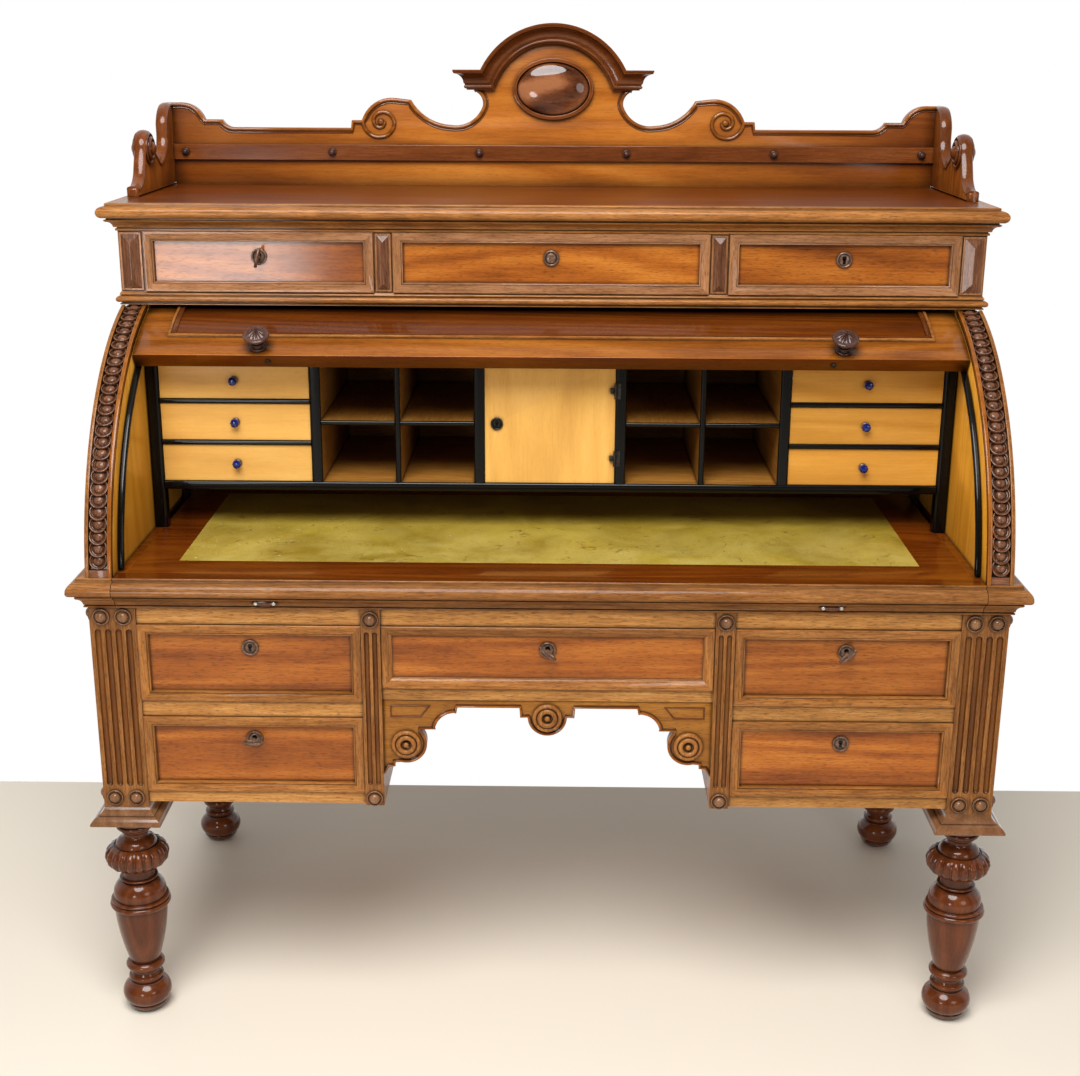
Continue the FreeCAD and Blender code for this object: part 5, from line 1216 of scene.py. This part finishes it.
slide_front = Piece("slide_front_look", "slide_front")
foot = Vector((-SLIDE_HALF, FOOT_Y, FOOT_Z))
front = moulding(deeper(EDGE, SLIDE_BACK), foot, X, -Y, 2 * SLIDE_HALF)
polished = split(front, lambda face: face.normal.z > FACING and face.calc_center_median().z > SLIDE_TOP)
slide_front.add(polished, slide_wood, X)
slide_front.add(front, walnut, X)
for side in (-1, 1):
    seat = Vector((side * PULL_X, FOOT_Y - PULL_REACH, FOOT_Z + PULL_RISE))
    # A dark squashed ball in the moulding: painted shade of the pull's hollow.
    hollow_shade = bmesh.new()
    bmesh.ops.create_uvsphere(hollow_shade, u_segments=24, v_segments=12, radius=1.0)
    pose = Matrix.Translation(seat) @ Matrix.Diagonal((PULL_HALF, PULL_SINK, PULL_TALL, 1))
    bmesh.ops.transform(hollow_shade, matrix=pose, verts=hollow_shade.verts)
    slide_front.add(hollow_shade, dark, X)
    ends = [seat + X * PULL_SPAN * way - Y * PULL_SINK for way in (-1, 1)]
    slide_front.add(bead(ends, PULL_WIRE), bronze, X)
    for end in ends:
        slide_front.add(turned(PULL_STUD, 20, end + Y * STUD_SINK, -Y), nickel, X)
slide_front.finish("walnut")
softened("writing_board", "walnut", slide_wood, X, 0.5 * MM)

# %% [markdown]
# ## Leather
# The writing surface is a thin skin, pasted into a shallow recess. It has a fine pebbled grain, old scuffs,
# and a pale worn zone in front where arms have rested. A fine grid follows the bed, with faint waves from
# the paste.

# %% Leather panel
LEATHER_THICK, LEATHER_RISE = 1.1 * MM, 1.28
LEATHER_CELLS = (120, 42)
# The heights in mm of two faint waves that cross
PASTE_WAVE, PASTE_RIPPLE = 0.10, 0.08
OLIVE_DEEP, OLIVE_PALE = (0.250, 0.168, 0.013, 1), (0.410, 0.298, 0.036, 1)
ARM_WORN, SCUFFED, SPOTTED = (0.480, 0.385, 0.110, 1), (0.150, 0.095, 0.014, 1), (0.780, 0.720, 0.520, 1)
PEBBLE_SCALE, PEBBLE_TONE = 420.0, (0.5, 0.45, 0.3, 1)


def leather_surface():
    finish = Finish("olive_leather", (0.36, 0.26, 0.03), 0.6)
    ranged, mixed = finish.ranged, finish.mixed
    place = finish.place()
    across = finish.apart(place)

    def noise(scale, detail, distortion):
        return finish.noise(place, scale, detail, 0.6, distortion)

    stain = ranged(noise(6.0, 6.0, 0.6), 0.36, 0.64, 0.0, 1.0)
    colour = mixed("MIX", stain, OLIVE_DEEP, OLIVE_PALE)
    rest = ranged(across["Y"], -0.26, 0.02, 1.0, 0.0)
    rubbed = ranged(noise(11.0, 6.0, 0.4), 0.36, 0.66, 0.0, 0.8)
    colour = mixed("MIX", finish.number("MULTIPLY", rest, rubbed), colour, ARM_WORN)
    colour = mixed("MIX", ranged(noise(26.0, 8.0, 1.8), 0.60, 0.68, 0.0, 0.70), colour, SCUFFED)
    spots = ranged(noise(170.0, 2.0, 0.3), 0.70, 0.74, 0.0, 0.8)
    leftward = ranged(across["X"], -0.6, 0.3, 1.0, 0.2)
    colour = mixed("MIX", finish.number("MULTIPLY", spots, leftward), colour, SPOTTED)
    pebble = finish.node("TexVoronoi", {"Scale": PEBBLE_SCALE, "Vector": place}).outputs["Distance"]
    finish.give({
        "Base Color": mixed("MULTIPLY", ranged(pebble, 0.0, 0.9, 0.40, 0.0), colour, PEBBLE_TONE),
        "Roughness": ranged(stain, 0.0, 1.0, 0.46, 0.64),
        "Specular IOR Level": 0.25,
        "Normal": finish.bump(pebble, 0.35, 0.0004),
    })
    return finish.material


low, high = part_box("leather_panel")
skin = bmesh.new()
bmesh.ops.create_grid(skin, x_segments=LEATHER_CELLS[0], y_segments=LEATHER_CELLS[1], size=0.5)
for vert in skin.verts:
    x = low.x + (vert.co.x + 0.5) * (high.x - low.x)
    y = low.y + (vert.co.y + 0.5) * (high.y - low.y)
    wave = PASTE_WAVE * math.sin(x * 17 + 2 * math.sin(y * 11)) + PASTE_RIPPLE * math.sin(y * 29 + x * 5)
    vert.co = Vector((x, y, low.z + (LEATHER_RISE + wave) * MM))
bmesh.ops.solidify(skin, geom=skin.faces[:], thickness=LEATHER_THICK)
bmesh.ops.recalc_face_normals(skin, faces=skin.faces)
leather = Piece("leather_skin", "leather_panel")
leather.add(skin, leather_surface(), X)
leather_skin = leather.finish("leather")

# %% [markdown]
# ## The quadrant sides
# Two curved side boards carry the lid. Outside they are walnut like the rest, but the joiner faced their
# inner sides with maple to match the fitted interior. A black bead inside guides the lid.

# %% Quadrant sides
sides = Piece("quadrant_sides_look", "quadrant_sides")
for bm in boards("quadrant_sides"):
    low, high = box_of(bm)
    inward = -1.0 if low.x > 0 else 1.0
    inner = split(soften(bm, 0.6 * MM), lambda face: face.normal.x * inward >= FACING)
    sides.add(bm, walnut, Z)
    sides.add(inner, maple_side, Z)
sides.finish("walnut")
softened("lid_guides", "ebonised", black, Z, 3.6 * MM, 4)

# %% [markdown]
# ## Coin mouldings
# The curved front edge of each side is carved with a row of overlapping coins, like a stack pushed over.
# The carver marks even steps along the arc, then cuts each coin with a rim and a raised middle, tilted so
# that its lower edge lies on the next. Here one coin is turned and set along the arc, between two plain
# bands.

# %% Coins
AXIS_Y, AXIS_Z = 90.5, 741.0
STRIP_OUT, STRIP_GROUND, STRIP_BACK = 452.0, 443.4, 440.2
STRIP_TOP = 1174.8
BAND = 6.0
COIN_PITCH = 19.2
COIN_TILT = math.radians(11)
COIN = outline(
    (0, 0), (14.4, 0), (14.4, 4.4), ((13.2, 6.4), (11.8, 5.2)), (11.0, 3.0), (9.6, 2.4), (8.6, 3.0),
    ((5.0, 6.2), (0, 6.9)),
)
STRIP_FOOT = 797.0
START, STOP = (math.asin((rise - AXIS_Z) / STRIP_OUT) for rise in (STRIP_FOOT, STRIP_TOP))
OVERRUN = 3.0 / STRIP_OUT
# A plain block at the foot, the way from it to the first coin's middle, and how far the last may pass the top
FOOT_BLOCK, FIRST_COIN, LAST_COIN = (length / STRIP_OUT for length in (12.0, 14.6, 6.0))
BLOCK_OUT = STRIP_OUT - 1.5


def on_arc(angle, radius, x):
    """A place on a circle about the lid's axis; the angle counts up from the front."""
    return Vector((x, (AXIS_Y - radius * math.cos(angle)) * MM, (AXIS_Z + radius * math.sin(angle)) * MM))


def arc_bar(x0, x1, inner, outer, start, stop, steps=48):
    """A bar of square section bent along the arc: one end face, pushed round step by step."""
    bm = bmesh.new()
    bmesh.ops.create_grid(bm, x_segments=1, y_segments=1, size=0.5)
    for vert in bm.verts:
        x = x0 if vert.co.x < 0 else x1
        radius = inner if vert.co.y < 0 else outer
        vert.co = on_arc(start, radius, x)
    bmesh.ops.spin(
        bm,
        geom=bm.verts[:] + bm.edges[:] + bm.faces[:],
        cent=(0, AXIS_Y * MM, AXIS_Z * MM),
        axis=(1, 0, 0),
        angle=-(stop - start),
        steps=steps,
    )
    return level_top(bm)


def level_top(bm):
    """Saws the upper end level, so that it meets the collar."""
    saw(bm, (0, 0, STRIP_TOP * MM), Z, clear_outer=True)
    bmesh.ops.holes_fill(bm, edges=[edge for edge in bm.edges if edge.is_boundary])
    bmesh.ops.recalc_face_normals(bm, faces=bm.faces)
    return bm


strips = Piece("coin_mouldings_look", "coin_mouldings")
for bm in boards("coin_mouldings"):
    low, high = box_of(bm)
    bm.free()
    centre = (low.x + high.x) / 2
    band = BAND * MM
    top = STOP + OVERRUN
    for x0, x1 in ((low.x, low.x + band), (high.x - band, high.x)):
        inside = abs(x0 + x1) / 2 < abs(centre)
        strip = soften(arc_bar(x0, x1, STRIP_BACK, STRIP_OUT, START, top), 0.8 * MM)
        strips.add(strip, lid_wood if inside else walnut, Z)
    # The ground under the coins is dark walnut: painted shade in the gaps between them.
    strips.add(arc_bar(low.x + band, high.x - band, STRIP_BACK, STRIP_GROUND, START, top), dark, Z)
    foot = START + FOOT_BLOCK
    block = arc_bar(low.x + band, high.x - band, STRIP_BACK, BLOCK_OUT, START, foot)
    strips.add(soften(block), coin_wood, X)
    angle = foot + FIRST_COIN
    count = 0
    while angle < STOP + LAST_COIN:
        out = Vector((0, -math.cos(angle), math.sin(angle)))
        up = Vector((0, math.sin(angle), math.cos(angle)))
        lean = (out * math.cos(COIN_TILT) + up * math.sin(COIN_TILT)).normalized()
        seat = on_arc(angle, STRIP_GROUND, centre)
        strips.add(level_top(turned(COIN, 32, seat, lean)), coin_wood, Z)
        angle += COIN_PITCH / STRIP_OUT
        count += 1
    print("coins on one side:", count)
strips.finish("walnut")

# %% [markdown]
# ## The lid
# The cylinder lid is a curved panel, built of staves and veneered. Its field and its lower edge take a darker
# copy of the lid walnut, painted shade from the case above. An applied moulding frames its face: its outer
# bead keeps a lighter walnut, a painted highlight, and two steps inside it are dark walnut, painted shade.
# The moulding is drawn flat, with mitred corners, and then wrapped round the cylinder, just as a veneer
# hammer presses a strip to a curve.

# %% Lid panel and its moulding
LID_RADIUS = 442.0
LID_OPEN = math.radians(180 - 123)
FRAME_REAR, FRAME_FRONT = math.radians(180 - 66), math.radians(180 - 117.2)
MOULD_STEPS = (
    (0.4, 3.0), (0.8, 1.1), (1.4, 0.3), (1.6, -0.3), (0.8, -1.1), (0.4, -1.2), (2.8, 0.0), (0.4, 0.6),
    (0.9, 0.2), (0.9, -0.4), (0.4, -0.8), (1.6, 0.0), (0.4, -1.2),
)
MOULD_WIDTH = sum(width for width, rise in MOULD_STEPS)
LIT_BEAD_WIDTH = 5.2 * MM
FIELD_DEPTH = 2.0
FRAME_LIFT = 0.1
SLICES = 40

low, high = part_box("lid_panel_moulding")
half = (high.x - low.x) / 2
lid = Piece("cylinder_lid_look", "cylinder_lid")
for bm in boards("cylinder_lid"):
    soften(bm, 0.9 * MM)
    landing = Vector((0, -math.sin(LID_OPEN), -math.cos(LID_OPEN)))
    # The lower landing edge takes the darker field walnut: painted shade.
    lid.add(split(bm, lambda face: face.normal.dot(landing) >= FACING), shaded_lid_field, X)
    inset = MOULD_WIDTH / LID_RADIUS
    edges = (FRAME_FRONT + inset, FRAME_REAR - inset)
    cuts = [((0, AXIS_Y * MM, AXIS_Z * MM), (0, math.sin(angle), math.cos(angle))) for angle in edges]
    cuts += [((side * (half - MOULD_WIDTH * MM), 0, 0), (1, 0, 0)) for side in (-1, 1)]
    for place, normal in cuts:
        saw(bm, place, normal)

    def in_field(face):
        middle = face.calc_center_median()
        arm = Vector((0, AXIS_Y * MM - middle.y, middle.z - AXIS_Z * MM))
        angle = math.atan2(arm.z, arm.y)
        within = edges[0] < angle < edges[1] and abs(middle.x) < half - MOULD_WIDTH * MM
        return within and arm.length > (LID_RADIUS - FIELD_DEPTH) * MM

    # The sunk field takes the darker field walnut: painted shade from the case above.
    lid.add(split(bm, in_field), shaded_lid_field, X)
    lid.add(bm, lid_wood, X)
lid.finish("walnut")

run = LID_RADIUS * (FRAME_REAR - FRAME_FRONT) * MM
flat = bmesh.new()
bmesh.ops.create_grid(flat, x_segments=1, y_segments=1, size=0.5)
for vert in flat.verts:
    vert.co = Vector((low.x if vert.co.x < 0 else high.x, 0.0 if vert.co.y < 0 else run, 0.0))
field = flat.faces[:]
inset_steps(flat, field, MOULD_STEPS)
bmesh.ops.delete(flat, geom=field, context="FACES")
for n in range(1, SLICES):
    saw(flat, (0, run * n / SLICES, 0), Y)
numbers = [thrown() for n in range(2)]


def edge_gap(face):
    """How far a face of the flat frame lies inside its outer edge, and whether that edge is an end."""
    middle = face.calc_center_median()
    ends, longs = half - abs(middle.x), min(middle.y, run - middle.y)
    return min(ends, longs), ends < longs


def frame_rule(face, number):
    return (Y, numbers[0]) if edge_gap(face)[1] else (X, numbers[1])


lid_frame = Piece("lid_panel_moulding_look", "lid_panel_moulding")
# The steps further in than the outer bead are dark walnut, painted shade; the outer bead keeps the lighter
# walnut, a painted highlight.
lid_frame.add(split(flat, lambda face: edge_gap(face)[0] > LIT_BEAD_WIDTH), dark, frame_rule)
lid_frame.add(flat, stick, frame_rule)
for vert in lid_frame.mesh.verts:
    angle = FRAME_FRONT + vert.co.y / MM / LID_RADIUS
    vert.co = on_arc(angle, LID_RADIUS + FRAME_LIFT + vert.co.z / MM, vert.co.x)
lid_frame.finish("dark_walnut")

# %% [markdown]
# ## The lid's knobs
# Two mushroom knobs lift the lid. The turner cut rings in the neck, and a carver pricked a flower of radial
# petals into the cap. Small buffers in the lid's lower edge let it land softly.

# %% Lid knobs
KNOB = outline(
    (0, 0), (13.9, 0), (13.9, 2.2), ((13.2, 3.8), (11.4, 4.2)), (10.0, 5.0), (9.4, 7.6), (11.0, 8.4),
    ((12.2, 10.0), (11.0, 11.6)), (9.4, 12.4), (9.2, 13.6), (11.4, 14.4), ((12.8, 16.2), (11.4, 18.0)),
    (10.0, 18.8), (10.4, 20.2), ((14.0, 22.6), (20.6, 23.6)), ((21.9, 25.8), (20.4, 28.0)), (18.4, 28.9),
    (17.6, 28.5), ((10.0, 32.6), (0, 34.6)),
)
KNOB_ANGLE = math.radians(180 - 120.4)
KNOB_PETALS, KNOB_PETAL_STEPS = 12, 6
# The petals are pricked into the cap above a rise and between two reaches, to a depth, all in mm
CAP_RISE, CAP_EYE, CAP_BRIM, CAP_DEPTH = 28.4, 2.0, 17.5, 1.5
BUFFER_WIDEST = 12 * MM
knobs = Piece("lid_knobs_look", "lid_knobs")
for bm in boards("lid_knobs"):
    low, high = box_of(bm)
    if high.x - low.x < BUFFER_WIDEST:
        knobs.add(soften(bm, 0.6 * MM), iron, Y)
        continue
    bm.free()
    knob = turned(KNOB, KNOB_PETALS * KNOB_PETAL_STEPS)
    for vert in knob.verts:
        reach = math.hypot(vert.co.x, vert.co.y) / MM
        if vert.co.z > CAP_RISE * MM and CAP_EYE < reach < CAP_BRIM:
            petal = abs(math.cos(math.atan2(vert.co.y, vert.co.x) * KNOB_PETALS / 2))
            vert.co.z -= CAP_DEPTH * MM * (1 - petal)
    out = Vector((0, -math.cos(KNOB_ANGLE), math.sin(KNOB_ANGLE)))
    seat = on_arc(KNOB_ANGLE, LID_RADIUS, (low.x + high.x) / 2)
    pose = Matrix.Translation(seat) @ Z.rotation_difference(out).to_matrix().to_4x4()
    bmesh.ops.transform(knob, matrix=pose, verts=knob.verts)
    knobs.add(knob, smoked, Z)
knobs.finish("dark_walnut")
softened("lid_arms", "iron", iron, Z, 0.6 * MM)

# %% [markdown]
# ## The case of drawers
# Above the lid sits a shallow case. Cornice and collar are long mouldings, mitred at the corners, and four
# faceted blocks stand between the drawers, cut like gems so that one slope is always bright and one dark.

# %% Frieze case
CASE_X, CASE_Y, CASE_BACK = 0.7236, -0.0294, 0.3735
COLLAR_BACK = 8.0
FACET_INSET, FACET_SHARP = 3.0 * MM, math.radians(8)
CORNICE_Z, COLLAR_Z = 1.298, 1.175
TABLET_DEEPEST = 4 * MM
softened("frieze_case", "walnut", walnut)

runs = Piece("case_mouldings_look", "case_mouldings")
for section, rise in ((CORNICE, CORNICE_Z), (deeper(COLLAR, COLLAR_BACK), COLLAR_Z)):
    left = Vector((-CASE_X, CASE_Y, rise))
    runs.add(moulding(section, left, X, -Y, 2 * CASE_X, (1, 1)), stick, X)
    for side in (-1, 1):
        corner = Vector((side * CASE_X, CASE_Y, rise))
        runs.add(moulding(section, corner, Y, X * side, CASE_BACK - CASE_Y, (1, 0)), stick, Y)
runs.finish("walnut")

blocks = Piece("faceted_blocks_look", "faceted_blocks")
for bm in boards("faceted_blocks"):
    low, high = box_of(bm)
    if high.y - low.y < TABLET_DEEPEST:
        blocks.add(soften(bm, 0.5 * MM), pale, Z)
        continue
    middle = (low + high) / 2
    for vert in bm.verts:
        for n in (0, 2):
            if abs(vert.co[n] - middle[n]) > (high[n] - low[n]) / 2 - MERGE:
                vert.co[n] -= math.copysign(FACET_INSET, vert.co[n] - middle[n])
    blocks.add(bm, coin_wood, Z)
blocks.finish("walnut", FACET_SHARP)
softened("top_board", "walnut", top_wood, X)

# %% [markdown]
# ## The gallery
# A sawn board crowns the desk. Its top edge has a carved double bead that ends in two scrolls, and an
# arched moulding shelters an oval boss of burl. The beads follow the sawn edge, a little way inside it; the
# scrolls are spirals that tighten towards a button. The inner one is a thin dark bead: painted shade of a
# groove.

# %% Gallery board, its beads and scrolls
BEAD_RADIUS, GROOVE_SHADE_RADIUS = 3.6 * MM, 1.44 * MM
BEAD_INSET, GROOVE_SHADE_INSET = 2.8 * MM, 8.6 * MM
SCROLL_X, SCROLL_Z = 0.3210, 1.4595
SCROLL_RADII = (34, 27, 25, 17.5, 13.5, 9.5, 6.0)
SCROLL_STEPS = 16
SCROLL_PROUD = 0.6 * MM
SCROLL_BUTTON = outline((6.4, 0), (6.4, 1.4), ((4.6, 4.4), (0, 5.4)))

gallery = Piece("gallery_back_look", "gallery_back")
for bm in boards("gallery_back"):
    front = box_of(bm)[0].y
    for row in edge_rows(bm, edges_round(bm, ON_FRONT, ON_FOOT, ON_LEFT, ON_RIGHT)):
        row = row if row[0].x < row[-1].x else row[::-1]
        gallery.add(bead(moved_aside(row, BEAD_INSET, Y), BEAD_RADIUS), lid_wood, X)
        # A thin dark bead further in: painted shade of a groove.
        gallery.add(bead(moved_aside(row, GROOVE_SHADE_INSET, Y), GROOVE_SHADE_RADIUS), dark, X)
    gallery.add(soften(bm, 0.6 * MM), honey, X)
    for side in (-1, 1):
        spiral = []
        for n in range((len(SCROLL_RADII) - 1) * SCROLL_STEPS + 1):
            quarter, share = divmod(n / SCROLL_STEPS, 1.0)
            before = SCROLL_RADII[int(quarter)]
            after = SCROLL_RADII[min(int(quarter) + 1, len(SCROLL_RADII) - 1)]
            radius = (before + (after - before) * share) * MM
            angle = -math.pi / 2 * n / SCROLL_STEPS
            x = SCROLL_X + math.cos(angle) * radius
            z = SCROLL_Z + math.sin(angle) * radius
            spiral.append(Vector((side * x, front - SCROLL_PROUD, z)))
        gallery.add(bead(spiral, BEAD_RADIUS), lid_wood, X)
        gallery.add(turned(SCROLL_BUTTON, 32, Vector((side * SCROLL_X, front, SCROLL_Z)), -Y), lid_wood, X)
gallery.finish("honey_walnut")
softened("peg_rail", "honey_walnut", dark, X)

# %% [markdown]
# ## The pediment
# The arched moulding was bent or sawn in three parts: an arch and two short level arms, mitred where they
# meet and returned at the ends. The section is spun into the arch. Each line of it then stops where it
# meets the same line of the level arm, which is where the mitre falls.

# %% Pediment
ARCH_RADIUS, ARCH_RISE = 150.0, 68.0
ARCH_Z = 1.486
ARM_REACH, ARM_PROUD = 185.0, 34.0
ARCH_STEPS = 56
PEDIMENT = outline(
    (0, 0), (34, 0), (34, 3.4), (32.6, 4.0), (32.6, 6.2), (30.6, 6.8), ((19.6, 12.4), (15.0, 21.6)),
    (14.6, 24.4), (12.8, 24.8), (12.8, 26.6), (11.8, 27.0), ((14.0, 30.6), (10.8, 33.6)), (9.2, 34.0),
    (9.0, 36), (0, 36),
)
face_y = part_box("pediment_moulding")[1].y
first = math.acos(ARCH_RISE / ARCH_RADIUS)
arch = bmesh.new()
row = []
for proud, drop in PEDIMENT:
    radius = (ARCH_RADIUS - drop) * MM
    place = (-radius * math.sin(first), face_y - proud * MM, ARCH_Z + radius * math.cos(first))
    row.append(arch.verts.new(place))
ring = [arch.edges.new((row[n - 1], row[n])) for n in range(len(row))]
bmesh.ops.spin(
    arch, geom=row + ring, cent=(0, 0, ARCH_Z), axis=(0, 1, 0), angle=2 * first, steps=ARCH_STEPS
)
ends = [edge for edge in arch.edges if edge.is_boundary]
for vert in arch.verts:
    rise = vert.co.z - ARCH_Z
    radius = math.hypot(vert.co.x, rise)
    drop = ARCH_RADIUS * MM - radius
    last = math.acos((ARCH_RISE * MM - drop) / radius)
    angle = math.atan2(vert.co.x, rise) * last / first
    vert.co.x, vert.co.z = radius * math.sin(angle), ARCH_Z + radius * math.cos(angle)
made = bmesh.ops.extrude_edge_only(arch, edges=ends)
for part in made["geom"]:
    if isinstance(part, bmesh.types.BMVert):
        proud = (face_y - part.co.y) / MM
        part.co.x = math.copysign((ARM_REACH - ARM_PROUD + proud) * MM, part.co.x)
bmesh.ops.holes_fill(arch, edges=[edge for edge in arch.edges if edge.is_boundary])
bmesh.ops.recalc_face_normals(arch, faces=arch.faces)
pediment = Piece("pediment_moulding_look", "pediment_moulding")
pediment.add(soften(arch, 0.35 * MM, 1), dark, X)
pediment.finish("dark_walnut")

# %% [markdown]
# ## The oval boss and the side brackets
# The boss is a cabochon of burl, polished like a stone in a ring. Burl has no straight grain, only swirls
# and eyes, so its texture is a noise that distorts itself. The side brackets are sawn boards with turned
# roundels.

# %% Boss and brackets
BRACKET_MID = 0.7195
STRAP_RADIUS, STRAP_INSET, STRAP_WIDEN = 5.0 * MM, 4.0 * MM, 2.1
DRUM_SEAT, DRUM_WIDEST = 5.0 * MM, 60 * MM
ROUNDEL = outline(
    (27.5, 0), (27.5, 4.4), ((26.0, 7.8), (23.2, 7.4)), (22.2, 6.0), (20.8, 6.0),
    ((18.8, 11.0), (14.8, 11.0)), (13.6, 9.4), (12.0, 9.4), ((8.6, 14.4), (0, 16.0)),
)
burl = wood(
    "burl", (0.020, 0.005, 0.002), (0.150, 0.045, 0.015), (0.330, 0.125, 0.050), 2.2, 0.1, 0.60, 1.6, 9.0,
    lines=0.35, sheen=0.05,
)
boss = Piece("oval_boss_look", "oval_boss")
dome, rim = boards("oval_boss")
boss.add(dome, burl, X)
boss.add(soften(rim, 1.6 * MM, 3), dark, X)
boss.finish("dark_walnut")

brackets = Piece("gallery_brackets_look", "gallery_brackets")
for bm in boards("gallery_brackets"):
    low, high = box_of(bm)
    middle = (low + high) / 2
    mid_x = math.copysign(BRACKET_MID, middle.x)
    if high.y - low.y < DRUM_WIDEST:
        bm.free()
        out = X if middle.x > mid_x else -X
        seat = Vector((mid_x, middle.y, middle.z)) + out * DRUM_SEAT
        brackets.add(turned(ROUNDEL, 40, seat, out), dark, Z)
        continue
    for row in edge_rows(bm, edges_round(bm, ON_LEFT, ON_FOOT, ON_BACK)):
        choices = [moved_aside(row, inset, X) for inset in (STRAP_INSET, -STRAP_INSET)]
        row = min(choices, key=lambda places: sum((place - middle).length for place in places))
        strap = bead([Vector((0, place.y, place.z)) for place in row], STRAP_RADIUS, 8)
        pose = Matrix.Translation((mid_x, 0, 0)) @ Matrix.Diagonal((STRAP_WIDEN, 1, 1, 1))
        bmesh.ops.transform(strap, matrix=pose, verts=strap.verts)
        brackets.add(strap, dark, Z)
    cheeks = split(soften(bm, 4.0 * MM, 3), lambda face: abs(face.normal.x) > FACING)
    brackets.add(cheeks, panel, Z)
    brackets.add(bm, dark, Z)
brackets.finish("honey_walnut")

# %% [markdown]
# ## The fitted interior
# Inside, everything is maple with black edging. The edging strips were planed half round, glued over the
# front edges, and polished with shellac until they shone. Beveling only their long front edges gives the
# half round.

# %% Pigeonholes
# The edging's rounding as a share of its depth and of its width, and the most it may be
ROUND_DEEP, ROUND_WIDE, ROUND_MOST = 0.9, 0.42, 5 * MM
# The case takes the darker copy of maple: painted shade in the pigeonholes.
softened("pigeonhole_case", "maple", shaded_nook_wood)

edging = Piece("black_edging_look", "black_edging")
for bm in boards("black_edging"):
    low, high = box_of(bm)
    way = long_side(bm)
    deep = high.y - low.y

    def long_front(edge):
        a, b = (vert.co for vert in edge.verts)
        return max(a.y, b.y) < low.y + MERGE and abs((b - a).normalized().dot(way)) > FACING

    rounding = min(ROUND_DEEP * deep, ROUND_WIDE * min(high.x - low.x, high.z - low.z), ROUND_MOST)
    edging.add(soften(bm, rounding, 5, [edge for edge in bm.edges if long_front(edge)]), black, way)
edging.finish("ebonised")

# %% [markdown]
# ## Small drawers
# Six small drawers flank the pigeonholes, each a maple front on a plain box. Their knobs are blue glass,
# cut in flat facets. A ball with few segments has such facets already; it is pressed a little flat and set
# on a turned stem.

# %% Small drawers
GLASS_FACETS, GLASS_RINGS, GLASS_RADIUS, GLASS_SQUASH, GLASS_REACH = 8, 5, 7.9 * MM, 0.74, 11.0 * MM
STEM = outline((0, 0), (7.2, 0), (7.2, 1.2), (4.2, 2.0), (4.2, 6.0), (0, 6.0))
for row in ("bottom", "middle", "top"):
    for side in ("left", "right"):
        drawer = f"small_drawer_{side}_{row}"
        piece = Piece(f"{drawer}_look", drawer)
        front, knob, *box = boards(drawer)
        # The right-hand fronts take the darker copy of maple: painted shade.
        piece.add(soften(front, 0.8 * MM), maple if side == "left" else maple_shaded_right, X)
        low, high = box_of(knob)
        seat, out = Vector(((low.x + high.x) / 2, high.y, (low.z + high.z) / 2)), -Y
        knob.free()
        piece.add(turned(STEM, 24, seat, out), bronze, Y)
        gem = bmesh.new()
        bmesh.ops.create_uvsphere(gem, u_segments=GLASS_FACETS, v_segments=GLASS_RINGS, radius=GLASS_RADIUS)
        pose = Matrix.Translation(seat + out * GLASS_REACH) @ Matrix.Rotation(math.pi / 2, 4, "X")
        squash = Matrix.Diagonal((1, 1, GLASS_SQUASH, 1))
        bmesh.ops.transform(gem, matrix=pose @ squash, verts=gem.verts)
        piece.add(gem, glass, Y)
        for bm in box:
            piece.add(soften(bm, 0.5 * MM), maple)
        piece.finish("maple")

# %% [markdown]
# ## The cupboard door
# A plain maple board closes the middle of the case, hung on two small iron hinges. Its lock plate is the
# drawers' plate made smaller, so the same outline is used with its radii drawn in.

# %% Cupboard door
PLATE_SHARE = 0.78
DOOR_PLATE = [(PLATE_SHARE * radius, rise) for radius, rise in PLATE]
KNUCKLE_WIDEST = 20 * MM
softened("cupboard_door", "maple", maple, Z, 0.8 * MM)
softened("door_hinges", "bronze", iron, Z, 0.4 * MM)
fittings = Piece("door_fittings_look", "door_fittings")
for bm in boards("door_fittings"):
    low, high = box_of(bm)
    if high.x - low.x < KNUCKLE_WIDEST:
        fittings.add(soften(bm, 0.4 * MM), iron, Z)
        continue
    seat, out = facing(bm)
    bm.free()
    fittings.add(turned(DOOR_PLATE, 40, seat, out), iron, Z)
    # A black sheet on the plate paints the shade in the keyhole.
    for hole in keyhole_shade_sheet(seat + out * HOLE_RISE):
        fittings.add(hole, black, Z)
fittings.finish("bronze")

# %% [markdown]
# ## Measuring
# The visual must not outgrow the solids it stands for. The sizes of the two boxes are printed one after the
# other.

# %% Sizes
low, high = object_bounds()
sizes = {"cad": [list(cad_low), list(cad_high)], "visual": [list(low), list(high)]}
for name, size in (("visual", high - low), ("CAD", cad_high - cad_low)):
    print(name, "size:", [round(side, 4) for side in size])
